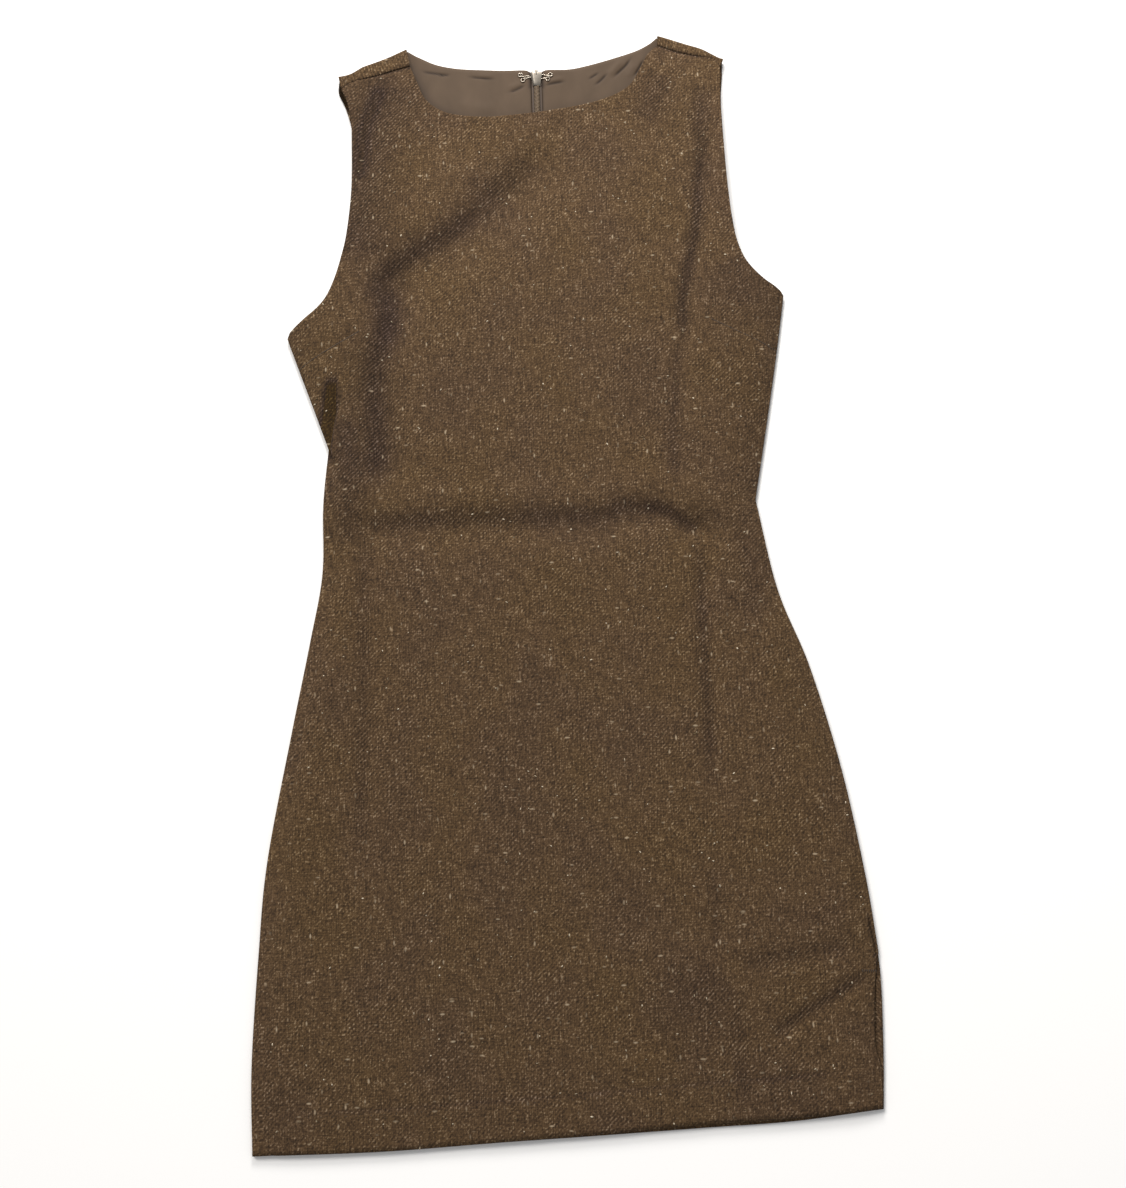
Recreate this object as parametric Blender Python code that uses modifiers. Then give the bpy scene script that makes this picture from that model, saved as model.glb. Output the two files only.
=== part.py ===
"""Sleeveless shift dress of slubbed twill, laid flat on its back with its front up.

World frame: metres, +Z up, +Y from hem to neck. Left and right are the wearer's, so left is +X.
The origin is under the middle of the dress, on the surface that it lies on.
Tables and sizes are in millimetres, and MM turns them into metres. Each panel is an open
surface, worked out from its outline and its height, with a wall from Solidify.
"""

import math

import bmesh
import bpy
import numpy as np
from mathutils import Matrix, Vector

MM = 0.001

# Cloth
SHELL_WALL = 1.5
LINING_WALL = 1.0
SEAM_GAP = 0.3
BACK_Z = SHELL_WALL / 2
SIDE_Z = 1.5 * SHELL_WALL + SEAM_GAP
LINING_Z = SHELL_WALL + SEAM_GAP + LINING_WALL / 2
ROLL_WIDTH = 26.0

# Outline of the laid dress, each row x, y. The right side is flared, pinched at the waist, and
# its underarm sticks out past a fold in the front. The left side ends in a slit.
SIDE_RIGHT = [(-230.9, -446.5), (-232.0, -385), (-227.5, -305), (-218, -236), (-204, -140),
              (-190, -70), (-180.7, -15), (-180.6, 40), (-176, 87)]
UNDERARM_RIGHT = [(-176, 87), (-192, 131), (-208, 181)]
ARMHOLE_RIGHT = [(-208, 181), (-191.5, 198.5), (-176, 217), (-167.5, 240), (-161, 272),
                 (-157.6, 310), (-157.8, 352), (-159, 385), (-161, 413)]
SIDE_LEFT = [(226.8, -429.8), (230.4, -385), (232, -325), (225.5, -260), (213, -180),
             (194.5, -101), (175, -40), (163.3, 36)]
UNDERARM_LEFT = [(163.3, 36), (176, 98), (187.5, 158), (195.8, 205.5)]
ARMHOLE_LEFT = [(195.8, 205.5), (180, 219.5), (168, 236), (160.5, 262), (157, 300),
                (155.5, 350), (155.4, 390), (157, 416.5)]
HEM_FRONT = [(-230.9, -446.5), (-141, -446.5), (-60, -443.4), (20, -440), (95, -436),
             (160, -434), (222.3, -429.3)]
HEM_BACK = [(-230.9, -446.5), (-141, -446.5), (-60, -443.6), (20, -441), (95, -438.3),
            (160, -436), (226.8, -429.8)]
CENTRE_BACK_HEM = (-2.6, -441.8)
CENTRE_BACK_NECK = (0, 417.8)

# Slit in the left side seam: the front's edge draws back from the back's, hem to top
SLIT_EDGE = [(222.3, -429.3), (223, -390), (224.6, -345), (227.2, -329)]
SLIT_TOP = (231.8, -318)

# Shoulders and neck. The back turns over the shoulder and meets the front at a seam below it.
SEAM_RIGHT = [(-161, 413), (-147, 414.2), (-131, 415), (-118, 418.6), (-104, 422.5)]
SEAM_LEFT = [(102.5, 434.5), (112, 431.8), (122, 427.8), (134, 425.6), (145, 423.6), (157, 416.5)]
TURN_RIGHT = [(-166.8, 415.6), (-155.5, 420), (-147, 425.4), (-131, 431), (-108.6, 440.4)]
TURN_LEFT = [(103.8, 446.1), (115.4, 442.4), (128, 437.6), (142, 431.4), (153, 425), (159, 420.6)]
NECK_FRONT = [(-104, 422.5), (-99.5, 408), (-93, 392), (-79, 381), (-60, 376.2), (-40, 374.8),
              (-12, 376.6), (18, 380.2), (46, 385.4), (66, 392.5), (79, 401.5), (87, 415),
              (94, 428), (102.5, 434.5)]
NECK_BACK_RIGHT = [(0, 417.8), (-20, 418.6), (-41, 420), (-66, 422), (-84, 426), (-98, 433.4),
                   (-108.6, 440.4)]
NECK_BACK_LEFT = [(0, 417.8), (13, 417.4), (28, 418.2), (46, 421.6), (66, 427.2), (85, 433.4),
                  (96, 439.2), (103.8, 446.1)]
TIP_RIGHT_BACK = [(-159, 372), (-163.6, 390), (-167.2, 402), (-166.8, 415.6)]
TIP_LEFT_BACK = [(155.6, 372), (156.6, 394), (158.8, 408), (159, 420.6)]

# How high the front stands over the back away from the seams: y, loft
LOFT = [(-446, 1.2), (-405, 2.4), (-330, 4.2), (-200, 5.6), (-80, 6.2), (30, 6.0), (130, 6.6),
        (240, 6.8), (330, 5.8), (390, 4.0), (440, 2.2)]
NECK_LIFT = 0.6
NECK_LIFT_WIDTH = 34.0

# Folds in the front: name, depth (a ridge is negative), half width, and its route as x, y
FOLDS = [
    ("drag from the neck", 3.4, 15, [(14, 345), (-50, 295), (-92, 268), (-126, 240)]),
    ("ridge over the drag", -1.4, 17, [(-30, 330), (-76, 306), (-122, 272)]),
    ("right bust", 2.9, 11, [(-124, 246), (-130, 174), (-138, 60)]),
    ("left bust", 2.4, 9, [(129, 312), (130, 256), (119, 217), (110, 176), (105, 100), (106, 50)]),
    ("waist", 3.2, 12, [(-176, 25), (-143, 26), (-56, 24), (38, 27), (62, 33), (86, 26),
                        (110, 16), (158, 20)]),
    ("waist bulge", -1.2, 16, [(-150, 54), (-40, 56), (60, 62), (130, 52)]),
    ("right skirt", 1.7, 9, [(-146, 12), (-150, -70), (-151, -245)]),
    ("left skirt", 2.0, 9, [(112, 6), (113, -86), (116, -150), (112, -306)]),
    ("left hip", 1.0, 13, [(157, -14), (164, -100)]),
    ("under the left bust", 1.2, 8, [(60, 134), (82, 146), (106, 168)]),
    ("slit, upper", 1.1, 8, [(127, -325), (165, -319), (212, -312)]),
    ("slit, lower", 1.4, 8, [(154, -369), (184, -354), (216, -338)]),
]
# The front folds over its own underarm here, and the underarm lies lower by the step.
UNDERARM_FOLD = [(-158, 168), (-164.6, 140), (-176, 87)]
UNDERARM_STEP = 3.4
UNDERARM_STEP_WIDTH = 9.0

# Grid of the panels
FRONT_COLUMNS = (5, 31, 5)
BACK_COLUMNS = (1, 5, 5)
SLIT_SHARE = 0.125
WAIST_SHARE = 0.53
RIB_SHARE = 0.6
PIT_SHARE = 0.72
ROWS = ((SLIT_SHARE, 7), (WAIST_SHARE, 13), (RIB_SHARE, 3), (PIT_SHARE, 4), (1, 14))
TURN_STEPS = 5

# Invisible zip at the centre back, coils inside the dress, down to below the waist
ZIP_TOP = 409.9
ZIP_BOTTOM = -70.0
ZIP_GAP = 0.2
TAPE_WIDTH = 4.4
TAPE_WALL = 0.7
COIL_START = 0.5
COIL_END = 2.1
COIL_HEIGHT = 0.8
TAPE_Z = SHELL_WALL + SEAM_GAP + 0.1

# The pull tab lies under the neck, and the cloth rises over it.
TAB_LIFT = 1.3
TAB_LIFT_CORE = 5.0
TAB_LIFT_WIDTH = 34.0
TAB_LIFT_FROM = 338.0
TAB_LIFT_FULL = 392.0

# Slider: a plate over the coils, with a post that passes the neck edge and ends in an eye
SLIDER_WIDTH = 8.4
SLIDER_ENDS = (404.2, 416.8)
SLIDER_Z = (5.3, 6.9)
SLIDER_EDGE = 0.7
KEEL_WIDTH = 4.6
KEEL_END = 409.6
KEEL_LOW = 4.9
POST_WIDTH = 0.9
POST_RADIUS = 1.3
PIN_AT = (0.0, 420.6, 1.5)
PIN_RADIUS = 0.45
EYE_RADIUS = 0.65

# Pull tab: two cheeks on a pin through the slider's eye, and a drop-shaped plate
CHEEK_FROM = 0.75
CHEEK_TO = 1.25
CHEEK_RADIUS = 1.2
TAB_Z = (0.05, 0.95)
TAB_ROOT = 418.6
TAB_END = 397.5
TAB_ROOT_WIDTH = 2.5
TAB_WIDTH = 4.8

# Lining at the back of the neck: where it starts beside the zip, and how far it runs under
# the front's neckline and shoulders
LINING_START = 5.0
LINING_OUTER = 117.0
LINING_UNDER = 17.0
LINING_EDGE = 1.3
LINING_COLUMNS = 16
LINING_ROWS = 6
# Pleats in the left lining: height, half width, and x, y of both ends
PLEATS = [(0.9, 3.2, (61, 406), (74, 424)), (1.0, 3.0, (77, 408), (87, 430))]

# Hook and eye at the top of the zip: wire, sewing rings at x, y, and where they lock
WIRE = 0.6
RING_RADIUS = 1.35
HOOK_RINGS = [(-13.4, 415.2), (-11.4, 410.2)]
EYE_RINGS = [(12.0, 414.6), (9.6, 410.6)]
LOCK_Y = 412.9
HOOK_LOW_Z = 3.5
LOCK_Z = 4.15
HOOK_HIGH_Z = 4.8

# Colours as hex, roughness, metallic
FINISHES = {
    "brown slub twill": ("5A4733", 0.92, 0.0),
    "taupe polyester lining": ("73624F", 0.55, 0.0),
    "taupe zip tape": ("6B5B49", 0.8, 0.0),
    "nickel-plated zinc": ("A9A7A2", 0.3, 1.0),
    "nickel-plated wire": ("9C958B", 0.32, 1.0),
}


# ---- Lines and distances, in millimetres ----

def spline(points, steps=14):
    """A smooth line through the points, as an array of x, y (and z)."""
    p = np.array(points, float)
    if len(p) < 3:
        return p
    ends = np.vstack([2 * p[0] - p[1], p, 2 * p[-1] - p[-2]])
    t = np.linspace(0, 1, steps, endpoint=False)[:, None]
    parts = []
    for a, b, c, d in zip(ends, ends[1:], ends[2:], ends[3:]):
        parts.append(0.5 * (2 * b + (c - a) * t + (2 * a - 5 * b + 4 * c - d) * t ** 2
                            + (3 * b - a - 3 * c + d) * t ** 3))
    return np.vstack(parts + [p[-1:]])


def shares(line):
    """Each point's share of the line's length, 0 to 1."""
    lengths = np.concatenate([[0], np.cumsum(np.linalg.norm(np.diff(line, axis=0), axis=1))])
    return lengths / lengths[-1]


def at(line, t):
    """Points of the line at shares t of its length."""
    s = shares(line)
    return np.stack([np.interp(t, s, line[:, k]) for k in range(line.shape[1])], axis=-1)


def along(t, *stretches):
    """Points at t on a boundary. Each stretch is (end, line), and fills t up to its end."""
    points = np.zeros((len(t), 2))
    start = 0.0
    for end, line in stretches:
        inside = (t >= start - 1e-9) & (t <= end + 1e-9)
        points[inside] = at(line, (t[inside] - start) / (end - start))
        start = end
    return points


def ticks(*stretches):
    """Grid lines from 0 to 1. Each stretch is (end, count of cells up to it)."""
    lines, start = [np.zeros(1)], 0.0
    for end, count in stretches:
        lines.append(np.linspace(start, end, count + 1)[1:])
        start = end
    return np.concatenate(lines)


def distance(x, y, line):
    """Distance to the line, and the share of its length where it is nearest."""
    s = shares(line)
    best = np.full(np.shape(x), np.inf)
    where = np.zeros(np.shape(x))
    for (ax, ay), (bx, by), s0, s1 in zip(line, line[1:], s, s[1:]):
        ux, uy = bx - ax, by - ay
        t = np.clip(((x - ax) * ux + (y - ay) * uy) / (ux * ux + uy * uy), 0, 1)
        d = np.hypot(x - ax - t * ux, y - ay - t * uy)
        where = np.where(d < best, s0 + t * (s1 - s0), where)
        best = np.minimum(d, best)
    return best, where


def ease(t):
    """0 to 1 with level ends."""
    t = np.clip(t, 0, 1)
    return t * t * (3 - 2 * t)


def coons(bottom, top, start, end, u, v):
    """Grid of x, y, one row for each v, that fills four boundaries sampled at u and v."""
    u, v = u[None, :, None], v[:, None, None]
    sides = (1 - u) * start[:, None] + u * end[:, None]
    ends = (1 - v) * bottom[None] + v * top[None]
    corners = ((1 - u) * (1 - v) * bottom[0] + u * (1 - v) * bottom[-1]
               + (1 - u) * v * top[0] + u * v * top[-1])
    return sides + ends - corners


# ---- Heights of the layers, in millimetres ----

def tab_lift(x, y):
    """How far the pull tab lifts the cloth over it."""
    across = 1 - ease((np.abs(x) - TAB_LIFT_CORE) / (TAB_LIFT_WIDTH - TAB_LIFT_CORE))
    return TAB_LIFT * across * ease((y - TAB_LIFT_FROM) / (TAB_LIFT_FULL - TAB_LIFT_FROM))


def side_seams():
    """Both side seams, hem to armpit."""
    right = np.vstack([spline(SIDE_RIGHT), spline(UNDERARM_RIGHT)[1:]])
    left = np.vstack([spline(SIDE_LEFT), spline(UNDERARM_LEFT)[1:]])
    return right, left


def front_height(x, y):
    """Middle of the front's wall over the surface that the dress lies on."""
    levels, lofts = np.array(LOFT).T
    loft = np.interp(y, levels, lofts)
    seam = np.minimum(*(distance(x, y, line)[0] for line in side_seams()))
    roll = 1 - (1 - np.clip(seam / ROLL_WIDTH, 0, 1)) ** 2
    neck = distance(x, y, spline(NECK_FRONT))[0]
    loft = loft + NECK_LIFT * np.exp(-(neck / NECK_LIFT_WIDTH) ** 2)
    z = loft
    for _, depth, half_width, route in FOLDS:
        off, where = distance(x, y, spline(route))
        fade = ease(where / 0.12) * ease((1 - where) / 0.12)
        z = z - depth * (0.35 + 0.65 * fade) * np.exp(-(off / half_width) ** 2)
    fold = spline(UNDERARM_FOLD)
    off, where = distance(x, y, fold)
    outside = x < np.interp(y, fold[::-1, 1], fold[::-1, 0])
    depth = UNDERARM_STEP * ease(where / 0.6) * (y > fold[-1, 1])
    z = z - np.where(outside, depth * np.exp(-np.clip(off - UNDERARM_STEP_WIDTH, 0, None) / 22)
                     * ease(off / UNDERARM_STEP_WIDTH + 0.3), 0.3 * depth * np.exp(-off / 3))
    return SIDE_Z + roll * np.maximum(z, 0.2)


def back_height(x, y):
    """Middle of the back's wall."""
    return BACK_Z + tab_lift(x, y)


def lining_height(x, y):
    """Middle of the lining's wall, with its pleats."""
    z = LINING_Z + tab_lift(x, y)
    for height, half_width, *ends in PLEATS:
        z = z + height * np.exp(-(distance(x, y, np.array(ends, float))[0] / half_width) ** 2)
    return z


# ---- Blender objects ----

def linear(hex_colour):
    """An sRGB hex colour as linear RGBA."""
    channels = [int(hex_colour[k:k + 2], 16) / 255 for k in (0, 2, 4)]
    return [c / 12.92 if c < 0.04045 else ((c + 0.055) / 1.055) ** 2.4 for c in channels] + [1]


def material(name):
    """The named finish as a Principled material, made once."""
    found = bpy.data.materials.get(name)
    if found:
        return found
    colour, roughness, metallic = FINISHES[name]
    made = bpy.data.materials.new(name)
    made.use_nodes = True
    shader = made.node_tree.nodes["Principled BSDF"]
    shader.inputs["Base Color"].default_value = linear(colour)
    shader.inputs["Roughness"].default_value = roughness
    shader.inputs["Metallic"].default_value = metallic
    return made


def add_part(name, data, finish):
    """An object of the dress."""
    data.materials.append(material(finish))
    obj = bpy.data.objects.new(name, data)
    bpy.data.collections["shift dress"].objects.link(obj)
    return obj


def add_sheet(name, grids, wall, finish):
    """Cloth through grids of points in millimetres that join at their shared points."""
    bm = bmesh.new()
    for grid in grids:
        rows = [[bm.verts.new(Vector(p) * MM) for p in row] for row in grid]
        for low, high in zip(rows, rows[1:]):
            for a, b, c, d in zip(low, low[1:], high[1:], high):
                bm.faces.new((a, b, c, d))
    bmesh.ops.remove_doubles(bm, verts=bm.verts, dist=0.00001)
    bmesh.ops.recalc_face_normals(bm, faces=bm.faces)
    mesh = bpy.data.meshes.new(name)
    bm.to_mesh(mesh)
    bm.free()
    mesh.shade_smooth()
    obj = add_part(name, mesh, finish)
    cloth = obj.modifiers.new("wall", "SOLIDIFY")
    cloth.thickness = wall * MM
    cloth.offset = 0
    cloth.use_even_offset = True
    return obj


def meshed(obj):
    """The curve object turned into a mesh object with welded caps."""
    graph = bpy.context.evaluated_depsgraph_get()
    mesh = bpy.data.meshes.new_from_object(obj.evaluated_get(graph))
    bm = bmesh.new()
    bm.from_mesh(mesh)
    bmesh.ops.remove_doubles(bm, verts=bm.verts, dist=0.000001)
    bmesh.ops.recalc_face_normals(bm, faces=bm.faces)
    bm.to_mesh(mesh)
    bm.free()
    name, world = obj.name, obj.matrix_world.copy()
    curve = obj.data
    bpy.data.objects.remove(obj)
    bpy.data.curves.remove(curve)
    made = bpy.data.objects.new(name, mesh)
    made.matrix_world = world
    bpy.data.collections["shift dress"].objects.link(made)
    return made


def add_plate(name, outlines, width, finish, upright=False):
    """A flat outline, with its holes, given a width. Upright, it is drawn in y, z and is wide in x."""
    curve = bpy.data.curves.new(name, "CURVE")
    curve.dimensions = "2D"
    curve.fill_mode = "BOTH"
    curve.extrude = width / 2 * MM
    for outline in outlines:
        ring = curve.splines.new("POLY")
        ring.points.add(len(outline) - 1)
        for point, (a, b) in zip(ring.points, outline):
            point.co = (a * MM, b * MM, 0, 1)
        ring.use_cyclic_u = True
    obj = add_part(name, curve, finish)
    if upright:
        obj.matrix_world = Matrix(((0, 0, 1, 0), (1, 0, 0, 0), (0, 1, 0, 0), (0, 0, 0, 1)))
    return meshed(obj)


def add_box(name, low, high, bevel, finish):
    """A box between two corners, with rounded edges."""
    bm = bmesh.new()
    bmesh.ops.create_cube(bm, size=1)
    low, high = Vector(low) * MM, Vector(high) * MM
    bmesh.ops.scale(bm, verts=bm.verts, vec=high - low)
    bmesh.ops.translate(bm, verts=bm.verts, vec=(low + high) / 2)
    mesh = bpy.data.meshes.new(name)
    bm.to_mesh(mesh)
    bm.free()
    obj = add_part(name, mesh, finish)
    if bevel:
        edge = obj.modifiers.new("edge", "BEVEL")
        edge.width = bevel * MM
        edge.segments = 2
    return obj


def add_wire(name, path, diameter, finish):
    """A wire along a path in millimetres."""
    curve = bpy.data.curves.new(name, "CURVE")
    curve.dimensions = "3D"
    curve.bevel_depth = diameter / 2 * MM
    curve.bevel_resolution = 1
    curve.use_fill_caps = True
    line = curve.splines.new("POLY")
    line.points.add(len(path) - 1)
    for point, p in zip(line.points, path):
        point.co = (*(Vector(p) * MM), 1)
    return add_part(name, curve, finish)


def merge(base, *others):
    """Joins the others to the base with Boolean unions, and hides them."""
    for other in others:
        union = base.modifiers.new("with " + other.name, "BOOLEAN")
        union.operation = "UNION"
        union.solver = "EXACT"
        union.object = other
        other.hide_render = True
        other.display_type = "WIRE"
        bpy.data.collections["shift dress"].objects.unlink(other)
        bpy.data.collections["joined shapes"].objects.link(other)
    return base


# ---- The pieces ----

def layers(grid, height):
    """A grid of x, y with its height as z."""
    return np.dstack([grid, height(grid[..., 0], grid[..., 1])])


def pulled_in(line, by):
    """The line's points moved by millimetres to the right of its own direction."""
    step = np.gradient(line, axis=0)
    step /= np.linalg.norm(step, axis=1)[:, None]
    return line + by * np.column_stack([step[:, 1], -step[:, 0]])


def make_front():
    """Front: hem, sides with the slit, armholes, shoulder seams and neckline."""
    seam_right = pulled_in(spline(SEAM_RIGHT), SEAM_GAP / 2)
    seam_left = pulled_in(spline(SEAM_LEFT), SEAM_GAP / 2)
    neck = spline(NECK_FRONT)
    neck[0], neck[-1] = seam_right[-1], seam_left[0]
    lengths = [np.linalg.norm(np.diff(line, axis=0), axis=1).sum()
               for line in (seam_right, neck, seam_left)]
    right_end = lengths[0] / sum(lengths) + 0.03
    left_end = 1 - lengths[2] / sum(lengths) - 0.03
    u = ticks(*zip((right_end, left_end, 1), FRONT_COLUMNS))
    v = ticks(*ROWS)
    armhole_right, armhole_left = spline(ARMHOLE_RIGHT), spline(ARMHOLE_LEFT)
    armhole_right[-1], armhole_left[-1] = seam_right[0], seam_left[-1]
    above_slit = [SLIT_TOP] + [p for p in SIDE_LEFT if p[1] > SLIT_TOP[1]]
    right = along(v, (RIB_SHARE, spline(SIDE_RIGHT)), (PIT_SHARE, spline(UNDERARM_RIGHT)),
                  (1, armhole_right))
    left = along(v, (SLIT_SHARE, spline(SLIT_EDGE + [SLIT_TOP])),
                 (WAIST_SHARE, spline(above_slit)), (PIT_SHARE, spline(UNDERARM_LEFT)),
                 (1, armhole_left))
    bottom = at(spline(HEM_FRONT), u)
    top = along(u, (right_end, seam_right), (left_end, neck), (1, seam_left))
    grid = coons(bottom, top, right, left, u, v)
    add_sheet("front", [layers(grid, front_height)], SHELL_WALL, "brown slub twill")


def make_back(side, name):
    """One back, side -1 for the right and 1 for the left. It turns over the shoulder."""
    if side < 0:
        seam, turn = spline(SEAM_RIGHT)[::-1], spline(TURN_RIGHT)[::-1]
        neck, tip = spline(NECK_BACK_RIGHT), spline(TIP_RIGHT_BACK)
        sides = (RIB_SHARE, spline(SIDE_RIGHT)), (PIT_SHARE, spline(UNDERARM_RIGHT))
        armhole, hem = spline(ARMHOLE_RIGHT), spline(HEM_BACK)
    else:
        seam, turn = spline(SEAM_LEFT), spline(TURN_LEFT)
        neck, tip = spline(NECK_BACK_LEFT), spline(TIP_LEFT_BACK)
        sides = (WAIST_SHARE, spline(SIDE_LEFT)), (PIT_SHARE, spline(UNDERARM_LEFT))
        armhole, hem = spline(ARMHOLE_LEFT), spline(HEM_BACK)[::-1]
    armhole = np.vstack([armhole[armhole[:, 1] < tip[0, 1] - 8], tip])
    half_gap = np.array([side * SEAM_GAP / 2, 0])
    centre = np.array([CENTRE_BACK_HEM, CENTRE_BACK_NECK], float) + half_gap
    hem = hem[side * (hem[:, 0] - centre[0, 0]) > 4]
    hem = np.vstack([centre[:1], hem[::-1]])
    neck = neck + half_gap * (1 - shares(neck)[:, None])

    neck_end = 0.62
    u = ticks(*zip((0.06, neck_end, 1), BACK_COLUMNS))
    v = ticks(*ROWS)
    s = (u[u >= neck_end - 1e-9] - neck_end) / (1 - neck_end)
    fold, meet = at(turn, s), at(seam, s)
    inward = (meet - fold) / np.linalg.norm(meet - fold, axis=1)[:, None]
    meet = meet - inward * SEAM_GAP / 2
    seam_z = front_height(meet[:, 0], meet[:, 1])
    radius = (seam_z - BACK_Z) / 2
    start = fold + inward * radius[:, None]

    neck[-1], armhole[-1] = start[0], start[-1]
    top = np.vstack([at(neck, u[u < neck_end - 1e-9] / neck_end), start])
    grid = coons(at(hem, u), top, at(centre, v), along(v, *sides, (1, armhole)), u, v)
    main = layers(grid, back_height)
    turned = []
    for angle in np.linspace(-math.pi / 2, math.pi / 2, TURN_STEPS + 1):
        xy = start - inward * (radius * math.cos(angle))[:, None]
        turned.append(np.column_stack([xy, BACK_Z + radius * (1 + math.sin(angle))]))
    turned += [turned[-1] * (1 - t) + np.column_stack([meet, seam_z]) * t for t in (0.5, 1)]
    add_sheet(name, [main, np.array(turned)], SHELL_WALL, "brown slub twill")


def make_lining(side, name):
    """Lining at one side of the back of the neck, from the zip to under the shoulder."""
    edge = spline(NECK_BACK_RIGHT if side < 0 else NECK_BACK_LEFT)
    x = side * np.linspace(LINING_START, LINING_OUTER, LINING_COLUMNS + 1)
    order = np.argsort(edge[:, 0])
    high = np.interp(x, edge[order, 0], edge[order, 1]) - LINING_EDGE
    high = high - 9 * ease((np.abs(x) - 92) / 18)
    neck = spline(NECK_FRONT)
    low = np.interp(x, neck[:, 0], neck[:, 1]) - LINING_UNDER
    t = np.linspace(0, 1, LINING_ROWS + 1)[:, None]
    grid = np.dstack([np.broadcast_to(x, (len(t), len(x))), low * (1 - t) + high * t])
    add_sheet(name, [layers(grid, lining_height)], LINING_WALL, "taupe polyester lining")


def make_zip(side, name):
    """One tape of the zip with its coil as a ridge, swept down the centre back."""
    profile = [(ZIP_GAP, 0), (TAPE_WIDTH, 0), (TAPE_WIDTH, TAPE_WALL), (COIL_END, TAPE_WALL),
               (COIL_END, TAPE_WALL + COIL_HEIGHT), (COIL_START, TAPE_WALL + COIL_HEIGHT),
               (ZIP_GAP, TAPE_WALL)]
    y = np.concatenate([[ZIP_BOTTOM], np.linspace(TAB_LIFT_FROM, TAB_LIFT_FULL, 7), [ZIP_TOP]])
    (x_hem, y_hem), (x_neck, y_neck) = CENTRE_BACK_HEM, CENTRE_BACK_NECK
    bm = bmesh.new()
    rings = []
    for level in y:
        middle = x_neck + (x_hem - x_neck) * (y_neck - level) / (y_neck - y_hem)
        z = TAPE_Z + float(tab_lift(0.0, level))
        rings.append([bm.verts.new(Vector((middle + side * a, level, z + b)) * MM)
                      for a, b in profile])
    for low, high in zip(rings, rings[1:]):
        for k in range(len(profile)):
            following = (k + 1) % len(profile)
            bm.faces.new((low[k], low[following], high[following], high[k]))
    bm.faces.new(rings[0])
    bm.faces.new(rings[-1])
    bmesh.ops.recalc_face_normals(bm, faces=bm.faces)
    mesh = bpy.data.meshes.new(name)
    bm.to_mesh(mesh)
    bm.free()
    add_part(name, mesh, "taupe zip tape")


def arc(centre, radius, start, end, count):
    """Points of an arc in a plane, angles in degrees."""
    angles = np.radians(np.linspace(start, end, count))
    return [(centre[0] + radius * math.cos(a), centre[1] + radius * math.sin(a)) for a in angles]


def make_slider():
    """Slider: plate and keel over the coils, and a post with the eye that holds the pull tab."""
    half = SLIDER_WIDTH / 2
    low_end, high_end = SLIDER_ENDS
    low_z, high_z = SLIDER_Z
    plate = add_box("zip_slider", (-half, low_end, low_z), (half, high_end, high_z),
                    SLIDER_EDGE, "nickel-plated zinc")
    keel = add_box("slider keel", (-KEEL_WIDTH / 2, low_end + 0.8, KEEL_LOW),
                   (KEEL_WIDTH / 2, KEEL_END, low_z + 0.6), 0, "nickel-plated zinc")
    _, pin_y, pin_z = PIN_AT
    inner, outer = pin_y - POST_RADIUS, pin_y + POST_RADIUS
    outline = [(high_end - 3, high_z - 0.2), (high_end - 3, low_z + 0.3), (inner, low_z + 0.3)]
    outline += arc((pin_y, pin_z), POST_RADIUS, 180, 360, 9)
    outline += arc((outer - 1.2, high_z - 1.4), 1.2, 0, 90, 5)
    eye = arc((pin_y, pin_z), EYE_RADIUS, 0, 337.5, 16)
    post = add_plate("slider post", [outline, eye], POST_WIDTH, "nickel-plated zinc", upright=True)
    merge(plate, keel, post)


def make_pull():
    """Pull tab. Its origin is on the pin, the axis that it turns about."""
    _, pin_y, pin_z = PIN_AT
    low_z, high_z = TAB_Z
    outline = [(TAB_ROOT - 0.6, high_z), (TAB_ROOT - 0.6, low_z), (pin_y, low_z)]
    outline += arc((pin_y, pin_z), CHEEK_RADIUS, -80, 150, 9)
    outline += [(pin_y - CHEEK_RADIUS - 0.5, high_z)]
    cheeks = []
    for side in (-1, 1):
        cheek = add_plate(f"pull cheek {side}", [outline], CHEEK_TO - CHEEK_FROM,
                          "nickel-plated zinc", upright=True)
        cheek.location.x = side * (CHEEK_FROM + CHEEK_TO) / 2 * MM
        cheeks.append(cheek)
    root, wide = TAB_ROOT_WIDTH / 2, TAB_WIDTH / 2
    drop = [(root, TAB_ROOT), (root + 0.2, TAB_ROOT - 5)]
    drop += arc((0, TAB_END + wide), wide, 0, -180, 13)
    drop += [(-root - 0.2, TAB_ROOT - 5), (-root, TAB_ROOT)]
    tab = add_plate("zip_pull", [drop], high_z - low_z, "nickel-plated zinc")
    tab.location.z = (low_z + high_z) / 2 * MM
    bm = bmesh.new()
    bmesh.ops.create_cone(bm, cap_ends=True, segments=14, radius1=PIN_RADIUS * MM,
                          radius2=PIN_RADIUS * MM, depth=(2 * CHEEK_TO - 0.1) * MM)
    pin_mesh = bpy.data.meshes.new("pull pin")
    bm.to_mesh(pin_mesh)
    bm.free()
    pin = add_part("pull pin", pin_mesh, "nickel-plated zinc")
    pin.rotation_euler.y = math.pi / 2
    pin.location = Vector(PIN_AT) * MM
    bpy.context.view_layer.update()
    pivot = Vector(PIN_AT) * MM
    tab.data.transform(Matrix.Translation(tab.location - pivot))
    tab.location = pivot
    merge(tab, *cheeks, pin)


def ring(centre, start, turn):
    """A sewing ring as x, y from an angle, all but closed."""
    return arc(centre, RING_RADIUS, start, start + turn * 320, 11)


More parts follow.
